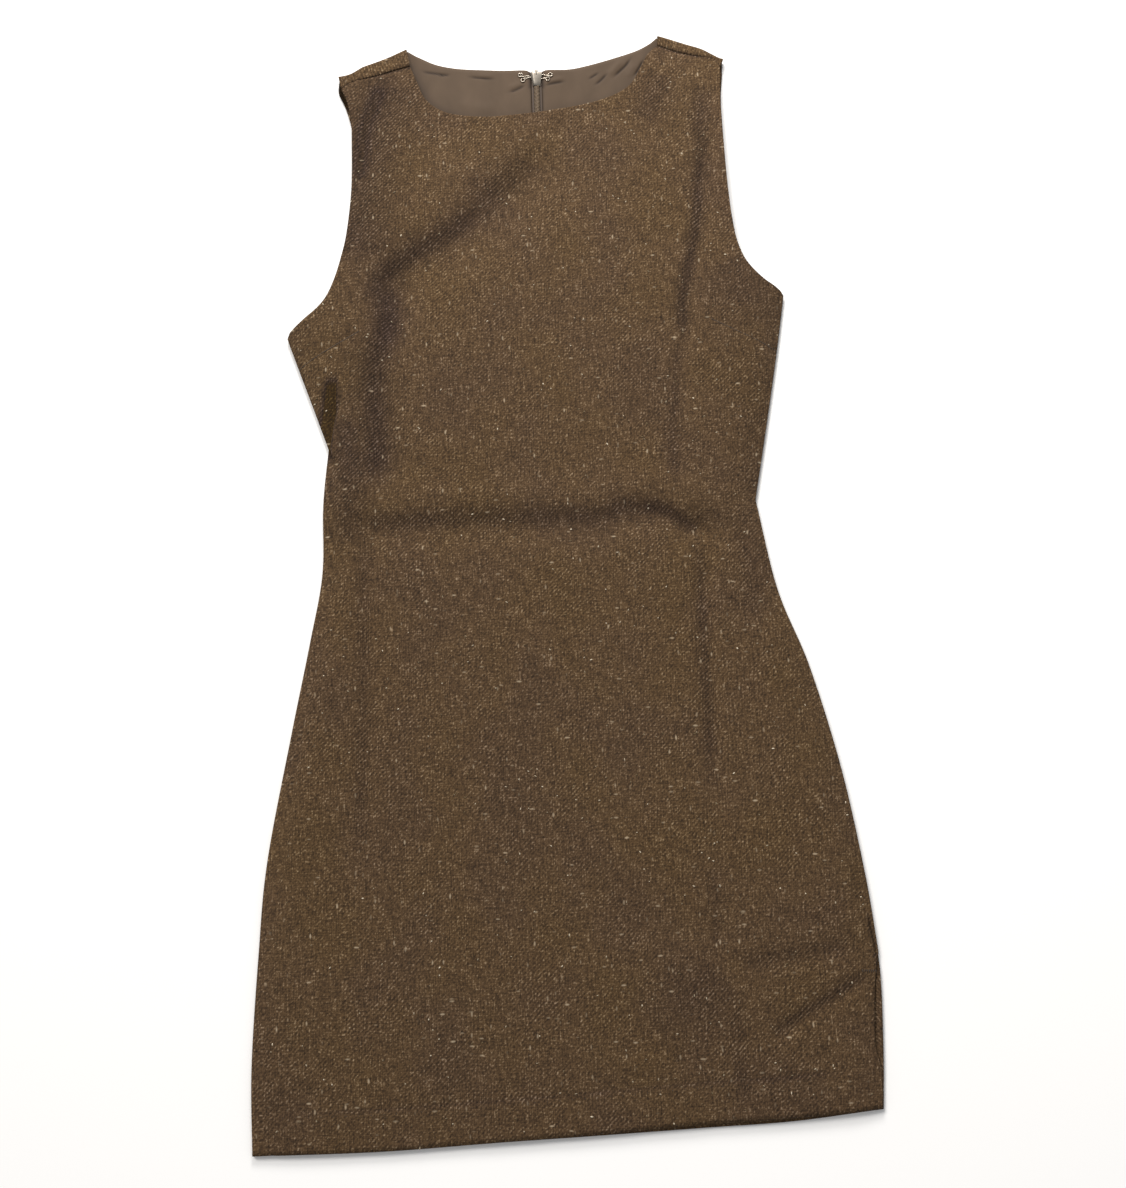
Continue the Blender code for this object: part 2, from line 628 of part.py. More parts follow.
def make_hook():
    """Hook: a ring, a shank, a bill doubled back over the lock, and the same way home."""
    (top, low), z = HOOK_RINGS, ring_height(HOOK_RINGS)
    path = [(x, y, z) for x, y in ring(top, -410, 1)]
    out = [(-8, LOCK_Y + 1.0, z), (-4.8, LOCK_Y + 0.6, z - 0.1), (-3.2, LOCK_Y + 0.5, HOOK_LOW_Z),
           (1.0, LOCK_Y + 0.5, HOOK_LOW_Z), (1.6, LOCK_Y + 0.5, LOCK_Z),
           (1.0, LOCK_Y + 0.5, HOOK_HIGH_Z), (-1.8, LOCK_Y + 0.5, HOOK_HIGH_Z)]
    back = [(x, 2 * LOCK_Y - y, h) for x, y, h in out[::-1]]
    path = path + out + back + [(x, y, z) for x, y in ring(low, 90, 1)]
    add_wire("hook", path, WIRE, "nickel-plated wire")


def ring_height(rings):
    """Middle of the wire where the sewing rings lie on the lining."""
    x, y = np.array(rings).T
    return float(lining_height(x, y).max()) + LINING_WALL / 2 + WIRE / 2 + SEAM_GAP


def make_eye():
    """Eye: two sewing rings and a loop that the hook's bill holds."""
    (top, low), z = EYE_RINGS, ring_height(EYE_RINGS)
    path = [(x, y, z) for x, y in ring(top, 230, -1)]
    loop = arc((0.4, LOCK_Y), 1.9, 60, 300, 9)
    path += [(5.2, LOCK_Y + 1.8, z), (3.4, LOCK_Y + 1.8, LOCK_Z)]
    path += [(x, y, LOCK_Z) for x, y in loop]
    path += [(3.4, LOCK_Y - 1.8, LOCK_Z), (5.2, LOCK_Y - 1.8, z)]
    path += [(x, y, z) for x, y in ring(low, 90, -1)]
    add_wire("eye", path, WIRE, "nickel-plated wire")


for old in list(bpy.data.objects):
    bpy.data.objects.remove(old)
for title in ("shift dress", "joined shapes"):
    bpy.context.scene.collection.children.link(bpy.data.collections.new(title))
bpy.data.collections["joined shapes"].hide_render = True

make_front()
make_back(-1, "back_right")
make_back(1, "back_left")
make_lining(-1, "lining_right")
make_lining(1, "lining_left")
make_zip(-1, "zip_right")
make_zip(1, "zip_left")
make_slider()
make_pull()
make_hook()
make_eye()
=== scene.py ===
"""Looks of a sleeveless shift dress in slubbed brown twill, laid flat on its back.

Row frame: metres, +Z up, +Y from hem to neck, +X to the wearer's left. Tables and sizes are
in millimetres, and MM turns them into metres. Each section makes one piece, or one group of
like pieces, in the order in which the dress is put together.
"""

import math

import bmesh
import bpy
import numpy as np
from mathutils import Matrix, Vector, noise


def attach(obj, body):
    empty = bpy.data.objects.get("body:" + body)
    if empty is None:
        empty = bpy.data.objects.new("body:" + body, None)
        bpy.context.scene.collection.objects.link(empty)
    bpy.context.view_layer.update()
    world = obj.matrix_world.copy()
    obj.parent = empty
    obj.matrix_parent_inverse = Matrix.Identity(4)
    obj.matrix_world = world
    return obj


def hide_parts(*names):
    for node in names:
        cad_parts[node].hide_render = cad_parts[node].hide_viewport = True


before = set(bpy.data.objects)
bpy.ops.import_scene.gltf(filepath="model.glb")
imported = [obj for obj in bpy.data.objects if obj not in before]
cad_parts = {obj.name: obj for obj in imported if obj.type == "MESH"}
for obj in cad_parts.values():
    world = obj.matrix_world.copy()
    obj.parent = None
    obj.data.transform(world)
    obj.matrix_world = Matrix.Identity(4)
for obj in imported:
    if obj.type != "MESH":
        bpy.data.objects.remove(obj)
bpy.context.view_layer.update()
MM = 0.001


# ---- Camera, floor and studio light ----
# The dress is seen from almost straight above, a little from the hem's side. It lies on a white
# table, in soft light from beyond the right shoulder and the neck, with a cool fill.

CAMERA_PLACE = (-0.0040, -0.3489, 1.2517)
CAMERA_TILT = 14
CAMERA_ROLL = -2
FLOOR_SIZE = 6000.0
FLOOR_DROP = 0.4
ROOM_LIGHT = 0.48
# Lights: name, kind, place in metres (the aim is the middle of the dress), size in metres or
# degrees, strength, colour
LIGHTS = [
    ("window", "SUN", (-0.80, 0.98, 1.15), 24.0, 1.8, "FFFBF6"),
    ("window pane", "AREA", (0.0, 1.30, 0.80), 0.6, 19.8, "FFFCF8"),
]


def add_object(name, data, *finishes):
    """A camera, a lamp or a mesh with its materials, as an object at the origin."""
    for made in finishes:
        data.materials.append(made)
    obj = bpy.data.objects.new(name, data)
    bpy.context.scene.collection.objects.link(obj)
    return obj


def dye(hex_colour):
    """An sRGB hex colour as linear RGBA."""
    channels = [int(hex_colour[k:k + 2], 16) / 255 for k in (0, 2, 4)]
    return [c / 12.92 if c < 0.04045 else ((c + 0.055) / 1.055) ** 2.4 for c in channels] + [1]


def add_node(tree, kind, sockets=None, **settings):
    """Adds a node with its settings. Each socket gets a value, or a link from an output."""
    made = tree.nodes.new(kind)
    for key, value in settings.items():
        setattr(made, key, value)
    for key, value in (sockets or {}).items():
        if isinstance(value, bpy.types.NodeSocket):
            tree.links.new(value, made.inputs[key])
        else:
            made.inputs[key].default_value = value
    return made


def object_place(tree):
    """Object coordinates."""
    return add_node(tree, "ShaderNodeTexCoord").outputs["Object"]


def clouds(tree, place, Scale=1.0, **sockets):
    """Soft noise at the place, 0 to 1."""
    return add_node(tree, "ShaderNodeTexNoise", {
        "Vector": place, "Scale": Scale, **sockets}).outputs["Fac"]


def mix(tree, share, low, high, blend="MIX"):
    """A blend of two colours, each an output or a hex colour."""
    low, high = (dye(c) if isinstance(c, str) else c for c in (low, high))
    return add_node(tree, "ShaderNodeMix", {0: share, 6: low, 7: high}, data_type="RGBA",
                    blend_type=blend).outputs[2]


def new_finish(name, roughness, **sockets):
    """A material of that name, as its tree and its shader, with the shader's own values."""
    made = bpy.data.materials.new(name)
    made.use_nodes = True
    shader = made.node_tree.nodes["Principled BSDF"]
    shader.inputs["Roughness"].default_value = roughness
    for key, value in sockets.items():
        shader.inputs[key.replace("_", " ")].default_value = value
    return made, made.node_tree, shader


def give_look(tree, shader, colour, relief=None, strength=0.0, depth=0.0, roughness=None):
    """Links the shader's colour, its relief as a bump, its depth in millimetres, and its
    roughness."""
    tree.links.new(colour, shader.inputs["Base Color"])
    if relief:
        bump = add_node(tree, "ShaderNodeBump", {
            "Height": relief, "Strength": strength, "Distance": depth * MM})
        tree.links.new(bump.outputs[0], shader.inputs["Normal"])
    if roughness:
        tree.links.new(roughness, shader.inputs["Roughness"])


camera_data = bpy.data.cameras.new("camera")
camera_data.lens = 50.0
camera = add_object("camera", camera_data)
camera.location = CAMERA_PLACE
camera.rotation_euler = (math.radians(CAMERA_TILT), 0, math.radians(CAMERA_ROLL))
bpy.context.scene.camera = camera
bpy.context.scene.view_settings.view_transform = "Standard"

# Matt white laminate, with a grain that hardly shows.
table_white, tree, shader = new_finish("matt white laminate", 0.7)
grain = clouds(tree, object_place(tree), 900.0)
give_look(tree, shader, mix(tree, grain, "FDFCFB", "FFFFFF"))
floor_mesh = bpy.data.meshes.new("table top")
half = FLOOR_SIZE / 2 * MM
floor_mesh.from_pydata([(-half, -half, 0), (half, -half, 0), (half, half, 0), (-half, half, 0)],
                       [], [(0, 1, 2, 3)])
floor = add_object("table_top", floor_mesh, table_white)
floor.location.z = -FLOOR_DROP * MM

for name, kind, place, size, strength, colour in LIGHTS:
    lamp = bpy.data.lights.new(name, kind)
    if kind == "SUN":
        lamp.angle = math.radians(size)
    else:
        lamp.shape, lamp.size = "DISK", size
    lamp.energy, lamp.color = strength, dye(colour)[:3]
    lamp_object = add_object(name, lamp)
    lamp_object.location = place
    lamp_object.rotation_euler = (-Vector(place)).to_track_quat("-Z", "Y").to_euler()
room = bpy.data.worlds.new("room")
room.use_nodes = True
background = room.node_tree.nodes["Background"].inputs
background["Color"].default_value = dye("F0F1F2")
background["Strength"].default_value = ROOM_LIGHT
bpy.context.scene.world = room


# ---- Front ----
# One panel of brown twill, cut with a round neck and a bust dart at each side, and joined to
# the backs at the shoulders and sides. It was packed folded, so it lies with its old creases,
# and on the right it folds over its own underarm.

SHELL_WALL = 1.2
SIDE_Z = 2.4
SEAM_GAP = 0.3
ROLL_WIDTH = 26.0
LEAST_LOFT = 0.3

# Outline, each row x, y. The left side seam ends in a slit above the hem.
SIDE_RIGHT = [
    (-230.9, -446.5), (-232.0, -385), (-227.6, -305), (-221.6, -236), (-203.8, -140), (-190, -70),
    (-180.4, -15), (-179.8, 40), (-175.6, 87)]
UNDERARM_RIGHT = [(-175.6, 87), (-190.8, 131), (-206.4, 175.5), (-208.9, 183)]
ARMHOLE_RIGHT = [
    (-208.9, 183), (-206.6, 187.6), (-195.2, 197.4), (-183.8, 207.6), (-176.2, 218), (-169.8, 233.5),
    (-165, 250), (-160.2, 272), (-156.2, 310), (-155.8, 350), (-156.4, 378), (-160.4, 396), (-164.4, 405.6)]
SIDE_LEFT = [
    (225.6, -429.8), (229, -385), (230.8, -325), (225, -260), (213, -180), (194.5, -101), (174.2, -40),
    (161.6, 34)]
UNDERARM_LEFT = [(161.6, 34), (174.8, 98), (186.6, 158), (195.4, 207)]
ARMHOLE_LEFT = [
    (195.4, 207), (194, 209.6), (188.3, 214.2), (179.8, 220), (170, 231), (163.8, 242), (158.6, 262),
    (155.4, 300), (154.2, 350), (154.2, 392), (155.6, 416.5)]
HEM_FRONT = [
    (-230.9, -446.5), (-141, -446.5), (-60, -443.4), (20, -440), (95, -436), (160, -434), (225.2, -429.6)]
SLIT_EDGE = [
    (225.2, -429.6), (226, -408), (225.6, -399), (223, -386), (223.6, -366), (225.6, -344), (228.2, -329)]
SLIT_TOP = (230.6, -319)
SEAM_RIGHT = [(-164.4, 405.6), (-158.6, 411), (-147, 414.6), (-134, 417.4), (-120, 421.6), (-106.4, 425.2)]
SEAM_LEFT = [
    (103.4, 438.4), (112.5, 434.4), (122, 430.8), (134, 427.6), (145, 425.6), (152, 422.6), (155.6, 416.5)]
NECK_FRONT = [
    (-106.4, 425.2), (-101, 410.5), (-93.6, 393), (-79, 381), (-60, 376.2), (-40, 374.8), (-12, 376.6),
    (18, 380.2), (46, 385.4), (66, 392.5), (79, 401.5), (87, 415), (94.6, 429.5), (103.4, 438.4)]

# How high the front stands over the back away from the seams: y, loft
LOFT = [
    (-446, 0.3), (-425, 1.5), (-400, 2.5), (-330, 4.2), (-200, 5.6), (-80, 6.2), (30, 6.0), (130, 6.6),
    (240, 6.8), (330, 5.8), (390, 4.0), (440, 2.2)]
NECK_LIFT = 0.6
NECK_LIFT_WIDTH = 34.0

# Creases: name, depth (a ridge is negative), width to the left and to the right of the way it
# runs, and its route as x, y
SLIT_SEAM = [(228.9, -340), (229.2, -329), (228.4, -320.5), (227.2, -311), (225.6, -300), (223.8, -288)]
HEM_TOP = [
    (-222, -418.5), (-141, -418), (-60, -415), (20, -411.6), (95, -407.6), (160, -405.6), (222, -401)]
CREASES = [
    ("drag from the neck", 4.6, 14, 30, [(-138, 207), (-129, 217), (-117, 235), (-99, 247.5), (-79, 259),
     (-61, 271.5), (-46, 287.5), (-29, 301), (-13, 316), (-1, 333), (8, 350)]),
    ("ridge over the drag", -1.0, 17, 17, [(-136, 254), (-98, 299), (-54, 331), (-26, 360)]),
    ("right bust", 4.2, 11, 14, [(-128, 48), (-130, 76), (-131.5, 94), (-134, 130), (-132, 160),
     (-126, 184), (-122, 206), (-125, 228), (-134, 242)]),
    ("left bust", 2.7, 6, 7, [(144, 364), (140, 342), (137, 320), (133.5, 297), (132.5, 273), (127.5, 250),
     (121.5, 226), (116.5, 202), (115.5, 180), (116, 164)]),
    ("left bust, lower", 1.3, 4, 6, [(115, 180), (108, 145), (106, 123), (103.5, 100), (102, 79),
     (103, 46)]),
    ("waist", 2.9, 18, 10, [(160, 12), (146, 10), (124, 13.5), (104, 13), (84, 22.5), (61, 24), (40, 18),
     (16, 18), (-28, 17.5), (-51, 19.5), (-96, 18.5), (-142, 19.5), (-176, 18)]),
    ("waist pinch", 1.6, 5, 5, [(117, 7), (104, 13), (92, 20.5), (80, 25), (68, 26.5)]),
    ("waist bulge", -1.0, 12, 12, [(-150, 42), (-80, 44), (-20, 43), (30, 43), (60, 48), (84, 48),
     (122, 36)]),
    ("right skirt", 1.9, 7, 9, [(-143, 30), (-144, -22), (-144, -70), (-145.5, -140), (-147, -230)]),
    ("left skirt", 2.4, 4, 9, [(117, 12), (121, -16), (119, -44), (118.5, -80), (120, -112), (120.5, -150),
     (121, -190), (119, -225)]),
    ("left skirt, low", 1.2, 3, 6, [(117, -250), (116, -280), (114, -312)]),
    ("left skirt, ridge", -0.8, 6, 6, [(125, 0), (126, -39), (124, -110)]),
    ("left hip", 1.5, 9, 9, [(146, 12), (152, -20), (160, -70)]),
    ("neck to bust", 0.8, 8, 10, [(40, 236), (78, 252), (112, 262)]),
    ("slit, upper", 1.4, 9, 4, [(124, -328), (142, -326), (170, -322), (214, -316)]),
    ("slit, lower", 2.0, 6, 4, [(148, -382), (164, -369), (186, -357), (209, -344), (224, -339)]),
    ("left skirt, foot", 1.1, 7, 5, [(122, -352), (126, -400), (127, -424)]),
    ("low hollow", 0.9, 22, 16, [(8, -280), (50, -290), (100, -300)]),
    ("right shoulder", 2.2, 14, 12, [(-146, 322), (-141, 352), (-137, 376), (-126, 404)]),
    ("left shoulder", 1.2, 8, 8, [(133, 300), (139, 339), (137, 365), (141, 400)]),
    ("seam by the slit", 1.5, 0.8, 0.9, SLIT_SEAM),
    ("hem, top", 0.3, 2.2, 1.2, HEM_TOP),
]
# Painted light and shade: tone (painted shade where it is positive, painted golden light
# where it is negative), half width, and its route. Past the tone below nothing of the gold is left.
GOLD_DROPS_AT = 0.15
LIGHT_AND_SHADE_PAINT = [
    (1.1, 12, [(-142, 204), (-136, 219), (-122.5, 241), (-103.6, 254.5), (-84, 266), (-65, 279),
     (-50, 296)]),
    (0.6, 17, [(-72, 273), (-51, 294), (-34, 308), (-18, 324), (-6, 342)]),
    (1.2, 14, [(-136, 46), (-137, 76), (-138, 100), (-138.5, 130), (-138, 160), (-129, 184), (-127, 206),
     (-131, 228), (-138, 244)]),
    (0.5, 22, [(-146, 40), (-147, 100), (-148, 150), (-148, 196)]),
    (0.8, 15, [(-160, 0), (-159, 40), (-157, 90), (-153, 118)]),
    (1.1, 5.5, [(138, 352), (135, 334), (131, 310), (128.5, 280), (123, 250), (117, 226), (112, 202),
     (112, 176), (110, 160)]),
    (0.5, 5, [(110, 172), (103.5, 140), (102, 120), (99.5, 100), (98.5, 79), (99, 46)]),
    (0.65, 9, [(160, 16), (146, 15), (124, 19.5), (104, 18), (84, 28), (61, 30), (40, 24), (-6, 23.5),
     (-51, 25), (-96, 24), (-142, 25), (-176, 23)]),
    (1.2, 6.5, [(118, 9), (106, 16), (93, 25), (80, 29.5), (68, 31)]),
    (0.5, 5, [(-146, 24), (-148, -22), (-148, -76), (-149.5, -150), (-151, -240)]),
    (0.7, 4.5, [(113, 10), (114, -20), (114.5, -44), (113.5, -90), (114.5, -135), (113, -180)]),
    (0.55, 4, [(112, -250), (111.5, -280), (110, -316)]),
    (0.4, 9, [(146, 12), (152, -20), (160, -70)]),
    (0.5, 7, [(124, -325), (142, -322), (170, -318), (214, -313)]),
    (0.85, 4.5, [(148, -377), (164, -365), (186, -353), (209, -340.5), (224, -336)]),
    (0.45, 5, [(122, -352), (124, -400), (125, -424)]),
    (1.55, 12, [(-152, 312), (-148, 343), (-144, 371), (-134, 400), (-130, 416)]),
    (0.85, 36, [(-156, 240), (-150, 330), (-138, 380), (-114, 424)]),
    (0.75, 8, [(130, 296), (136, 339), (135, 365), (140, 402)]),
    (0.35, 26, [(62, -376), (92, -352), (116, -330)]),
    (-0.6, 38, [(-112, 330), (-62, 345)]),
    (2.8, 0.8, SLIT_SEAM),
    (0.7, 1.8, HEM_TOP),
    (-0.5, 20, [(-140, 262), (-100, 304), (-56, 334), (-24, 366)]),
    (-0.25, 14, [(-150, 42), (-80, 45), (-20, 44), (30, 46), (60, 52), (84, 50), (122, 40)]),
    (-0.4, 7, [(125, 0), (126, -39), (124, -110)]),
    (0.2, 26, [(152, 60), (157, 120), (158, 190)]),
    (0.7, 15, [(84, 366), (98, 390), (106, 414)]),
    (0.35, 34, [(152, 244), (165, 205), (176, 176)]),
]
# The turned-up hem makes the cloth double up to here, and each dart runs from the side seam.
HEM_DEPTH = 27.0
HEM_STEP = 0.5
HEM_STEP_WIDTH = 2.5
DARTS = [((186.8, 158.4), (130.0, 188.6)), ((-199.4, 156.0), (-146.0, 188.0))]
DART_DEPTH = 0.9
DART_WIDTH = 3.4
# At the shoulder seams the front's edge is sewn down under the strip that comes over from behind.
# The seam's shade is painted on.
SEAM_DIP = 0.6
SEAM_DIP_WIDTH = 1.2
SEAM_SHADE = 2.3
# A shoulder seam flattens out towards the armhole: where, over how much, and to which share.
SEAM_FLAT_AT, SEAM_FLAT_RUN, SEAM_LEAST = 148, 22, 0.3
# Uneven lie of the cloth: height and spacing of its soft ripples
RIPPLES = [(0.34, 52.0), (0.16, 21.0)]

# The panel's grid has a guide line along the fold over the underarm. On both sides of it lie
# the columns of the fold: how far out they stand from the guide, and their share of the rise.
GUIDE = [
    [(-220.5, -446.4), (-221.5, -385), (-217, -305), (-207.5, -236), (-193.5, -140), (-179.5, -70),
     (-170.5, -15), (-170.0, 40), (-171.3, 87)],
    [(-171.3, 87), (-163.6, 136), (-157, 182)],
    [(-157, 182), (-150, 240), (-144.5, 310), (-143.5, 352), (-144.5, 385), (-148, 414.2)],
]
FOLD_PROFILE = [
    (-1.2, 1.0), (0.7, 0.98), (1.8, 0.88), (2.2, 0.74), (1.7, 0.61), (0.3, 0.54), (-1.8, 0.5),
    (-3.2, 0.42), (-3.7, 0.28), (-3.0, 0.13), (-1.2, 0.03), (0.9, 0.0)]
FOLD_HALF = 4.0
# Heights y between which the fold closes, and between which it opens again
CLOSING, OPENING = (70.0, 87.0), (104.0, 152.0)
# Next to the fold the cloth on top rises, and the underarm below is sunk, with its shade painted on.
FOLD_RISE, RISE_WIDTH, RISE_LIMIT = 3.0, 15, 5.5
FLAP_DROP, DROP_WIDTH = 0.72, 34
FOLD_SHADE, SHADE_WIDTH, SHADE_EDGE, SHADE_END = 1.95, 12, 7, 14

# Shares of the grid's height at which its boundaries bend, then rows: share, cells up to it
SLIT_SHARE, WAIST_SHARE, RIB_SHARE, PIT_SHARE = 0.125, 0.53, 0.6, 0.72
ROWS = (
    (0.026, 6), (0.042, 8), (SLIT_SHARE, 20), (WAIST_SHARE, 84), (RIB_SHARE, 22), (PIT_SHARE, 32),
    (0.985, 46), (0.996, 5), (1, 4))
FLAP_COLUMNS = 11
MAIN_COLUMNS = 98
SEAM_COLUMNS = 15
EDGE_SHARE = 0.034
EDGE_COLUMNS = 16
# Each shoulder seam gets this much more of the top edge than its length asks for.
CORNER_SHARE = 0.03


def spline(points, steps=14):
    """A smooth line through the points, as an array of x, y (and z)."""
    p = np.array(points, float)
    if len(p) < 3:
        return p
    ends = np.vstack([2 * p[0] - p[1], p, 2 * p[-1] - p[-2]])
    t = np.linspace(0, 1, steps, endpoint=False)[:, None]
    parts = [0.5 * (2 * b + (c - a) * t + (2 * a - 5 * b + 4 * c - d) * t ** 2
                    + (3 * b - a - 3 * c + d) * t ** 3)
             for a, b, c, d in zip(ends, ends[1:], ends[2:], ends[3:])]
    return np.vstack(parts + [p[-1:]])


def run_to(points):
    """How far it is to each point, along the first axis."""
    step = np.linalg.norm(np.diff(points, axis=0), axis=-1)
    return np.concatenate([np.zeros_like(step[:1]), np.cumsum(step, axis=0)])


def at(line, t):
    """Points of the line at shares t of its length."""
    run = run_to(line)
    return np.stack([np.interp(t, run / run[-1], line[:, k]) for k in range(line.shape[1])],
                    axis=-1)


def along(t, *stretches):
    """Points at t on a boundary. Each stretch is (end, line), and fills t up to its end."""
    points = np.zeros((len(t), 2))
    start = 0.0
    for end, line in stretches:
        inside = (t >= start - 1e-9) & (t <= end + 1e-9)
        points[inside] = at(line, (t[inside] - start) / (end - start))
        start = end
    return points


def ticks(*stretches):
    """Grid lines from 0 to 1. Each stretch is (end, count of cells up to it)."""
    lines, start = [np.zeros(1)], 0.0
    for end, count in stretches:
        lines.append(np.linspace(start, end, count + 1)[1:])
        start = end
    return np.concatenate(lines)


def to_right(line):
    """Unit vectors that point to the right of the line's own direction."""
    way = np.gradient(line, axis=0)
    way /= np.linalg.norm(way, axis=1)[:, None]
    return np.column_stack([way[:, 1], -way[:, 0]])


def distance(x, y, line):
    """Distance to the line (positive on its left), and the share where it is nearest."""
    run = run_to(line)
    best = np.full(np.shape(x), np.inf)
    side, where = np.ones(np.shape(x)), np.zeros(np.shape(x))
    for (ax, ay), (bx, by), s0, s1 in zip(line, line[1:], run / run[-1], run[1:] / run[-1]):
        ux, uy = bx - ax, by - ay
        t = np.clip(((x - ax) * ux + (y - ay) * uy) / (ux * ux + uy * uy), 0, 1)
        d = np.hypot(x - ax - t * ux, y - ay - t * uy)
        nearer = d < best
        where = np.where(nearer, s0 + t * (s1 - s0), where)
        side = np.where(nearer, np.sign(ux * (y - ay) - uy * (x - ax)), side)
        best = np.minimum(d, best)
    return best * side, where


def gap(x, y, *lines):
    """Distance to the nearest of the lines."""
    return np.minimum.reduce([np.abs(distance(x, y, line)[0]) for line in lines])


def ease(t):
    """0 to 1 with level ends."""
    t = np.clip(t, 0, 1)
    return t * t * (3 - 2 * t)


def bell(t):
    """1 at 0, and soon nothing on both sides."""
    return np.exp(-t ** 2)


def coons(bottom, top, start, end, u, v):
    """Grid of x, y, one row for each v, that fills four boundaries sampled at u and v. The
    shapes of the bottom and top fade fast away from them."""
    bottom_bend, top_bend = (line - line[0] - u[:, None] * (line[-1] - line[0])
                             for line in (bottom, top))
    u, v = u[None, :, None], v[:, None, None]
    return ((1 - u) * start[:, None] + u * end[:, None]
            + (1 - v) ** 3 * bottom_bend + v ** 3 * top_bend)


def ripple(x, y, seed):
    """Uneven lie of the cloth, in millimetres."""
    z = np.zeros(np.shape(x))
    for height, spacing in RIPPLES:
        z += height * np.array([noise.noise((a / spacing, b / spacing, seed))
                                for a, b in zip(x.flat, y.flat)]).reshape(z.shape)
    return z


def beside(x, y, width_left, width_right, route, least=0.0, soft=0.14):
    """1 on the route and 0 away from it, with soft ends: least of it is left there."""
    off, where = distance(x, y, spline(route))
    fade = least + (1 - least) * ease(where / soft) * ease((1 - where) / soft)
    return fade * bell(off / np.where(off > 0, width_left, width_right))


def creased(x, y, creases):
    """Depth of the creases in millimetres."""
    return sum(depth * beside(x, y, *widths_and_route, least=0.25)
               for _, depth, *widths_and_route in creases)


def painted_light_and_shade(x, y, areas):
    """Painted shade where the tone is positive, painted golden light where it is negative."""
    tones = np.array([tone * beside(x, y, width, width, route) for tone, width, route in areas])
    dark, light = tones.max(axis=0), tones.min(axis=0)
    return np.where(dark > GOLD_DROPS_AT, dark, dark + light)


def side_seams():
    """Both side seams, hem to armpit."""
    return (np.vstack([spline(SIDE_RIGHT), spline(UNDERARM_RIGHT)[1:]]),
            np.vstack([spline(SIDE_LEFT), spline(UNDERARM_LEFT)[1:]]))


def seam_depth(x):
    """How deep a shoulder seam is sewn in, as a share."""
    return SEAM_LEAST + (1 - SEAM_LEAST) * ease((SEAM_FLAT_AT - np.abs(x)) / SEAM_FLAT_RUN)


def front_height(x, y):
    """Middle of the front's wall over the table, and its painted shade and light."""
    roll = 1 - (1 - np.clip(gap(x, y, *side_seams()) / ROLL_WIDTH, 0, 1)) ** 2
    loft = np.interp(y, *np.array(LOFT).T)
    loft = loft + NECK_LIFT * bell(gap(x, y, spline(NECK_FRONT)) / NECK_LIFT_WIDTH)
    hem = gap(x, y, spline(HEM_FRONT))
    z = (loft - creased(x, y, CREASES) + ripple(x, y, 3.1)
         + HEM_STEP * (1 - ease((hem - HEM_DEPTH) / HEM_STEP_WIDTH)))
    for dart in DARTS:
        off, where = distance(x, y, np.array(dart))
        z = z - DART_DEPTH * (1 - where) ** 0.5 * bell(off / DART_WIDTH)
    shoulder = gap(x, y, spline(SEAM_RIGHT), spline(SEAM_LEFT))
    sewn = bell(shoulder / SEAM_DIP_WIDTH) * seam_depth(x)
    dark = np.maximum(painted_light_and_shade(x, y, LIGHT_AND_SHADE_PAINT), SEAM_SHADE * sewn)
    return SIDE_Z + roll * np.maximum(z, LEAST_LOFT) - SEAM_DIP * sewn, dark


def finished(name, bm, finish, sharp=None):
    """The bmesh as a piece, faces turned out and smooth, with its edges past an angle sharp."""
    bmesh.ops.recalc_face_normals(bm, faces=bm.faces)
    mesh = bpy.data.meshes.new(name)
    bm.to_mesh(mesh)
    bm.free()
    mesh.shade_smooth()
    if sharp:
        mesh.set_sharp_from_angle(angle=math.radians(sharp))
    return add_object(name, mesh, finish)


def add_cloth(name, grids, wall, finish):
    """Cloth through grids that join at their shared points. Each point is x, y, z, its place
    in the weave as two more millimetres, and the shade painted on it, with painted light where it is
    negative."""
    bm = bmesh.new()
    weave = bm.loops.layers.uv.new("weave")
    light_and_shade_paint = bm.verts.layers.float.new("light_and_shade_paint")
    for grid in grids:
        rows = [[(bm.verts.new(Vector(p[:3]) * MM), p) for p in row] for row in grid]
        for vert, p in (pair for row in rows for pair in row):
            vert[light_and_shade_paint] = p[5]
        for low, high in zip(rows, rows[1:]):
            for corners in zip(low, low[1:], high[1:], high):
                face = bm.faces.new([vert for vert, _ in corners])
                for loop, (_, p) in zip(face.loops, corners):
                    loop[weave].uv = (p[3] * MM, p[4] * MM)
    bmesh.ops.remove_doubles(bm, verts=bm.verts, dist=0.000004)
    obj = finished(name, bm, finish)
    cloth = obj.modifiers.new("wall", "SOLIDIFY")
    cloth.thickness = wall * MM
    cloth.offset = 0
    return obj


# Wool-blend twill, 2/2, spun from heathered yarn with cream slubs: matt and a little hairy.
# The wales run up to the right, 2.1 mm apart, drawn at 2.5 mm to show, and they show more where
# the cloth is pressed. Elsewhere they break up into short floats of yarn, drawn twice as thick.
WALE_SPACING = 2.5
WALE_TURN = 45.0
YARN = 0.9
YARN_SWAY = 1.8
WAVE_PERIOD = 2 * math.pi / 20
# Noise of the yarns: size across and along the warp, turn, then detail and roughness
YARNS = {
    "warp": (YARN, 14, 0, 2, 0.5),
    "weft": (12, YARN, 0, 2, 0.5),
    "floats": (1.1, 2.9, WALE_TURN, 1, 0.5),
    "hairs": (1.5, 1.7, 0, 3, 0.65),
    "heather": (6.5, 8, 0, 2, 0.6),
    "patches": (70, 90, 0, 2, 0.5),
}
SHELL_SHADES = [(0.10, "19120C"), (0.38, "3D2E20"), (0.60, "5C4731"), (0.84, "A38E76")]
# Cream neps that are too small to stand up: short dashes along the warp and the weft. Each row
# has the size across and along the warp, how rare they are, and a seed.
NEPS = [(2.8, 7.0, 0.85, 0.0), (7.0, 2.8, 0.89, 7.0)]


def woven_place(tree):
    """The place in the weave, in metres."""
    return add_node(tree, "ShaderNodeUVMap", uv_map="weave").outputs["UV"]


def light_and_shade_paint_at(tree):
    """The painted shade and light, as the cloth carries it."""
    return add_node(tree, "ShaderNodeAttribute", attribute_name="light_and_shade_paint").outputs["Fac"]


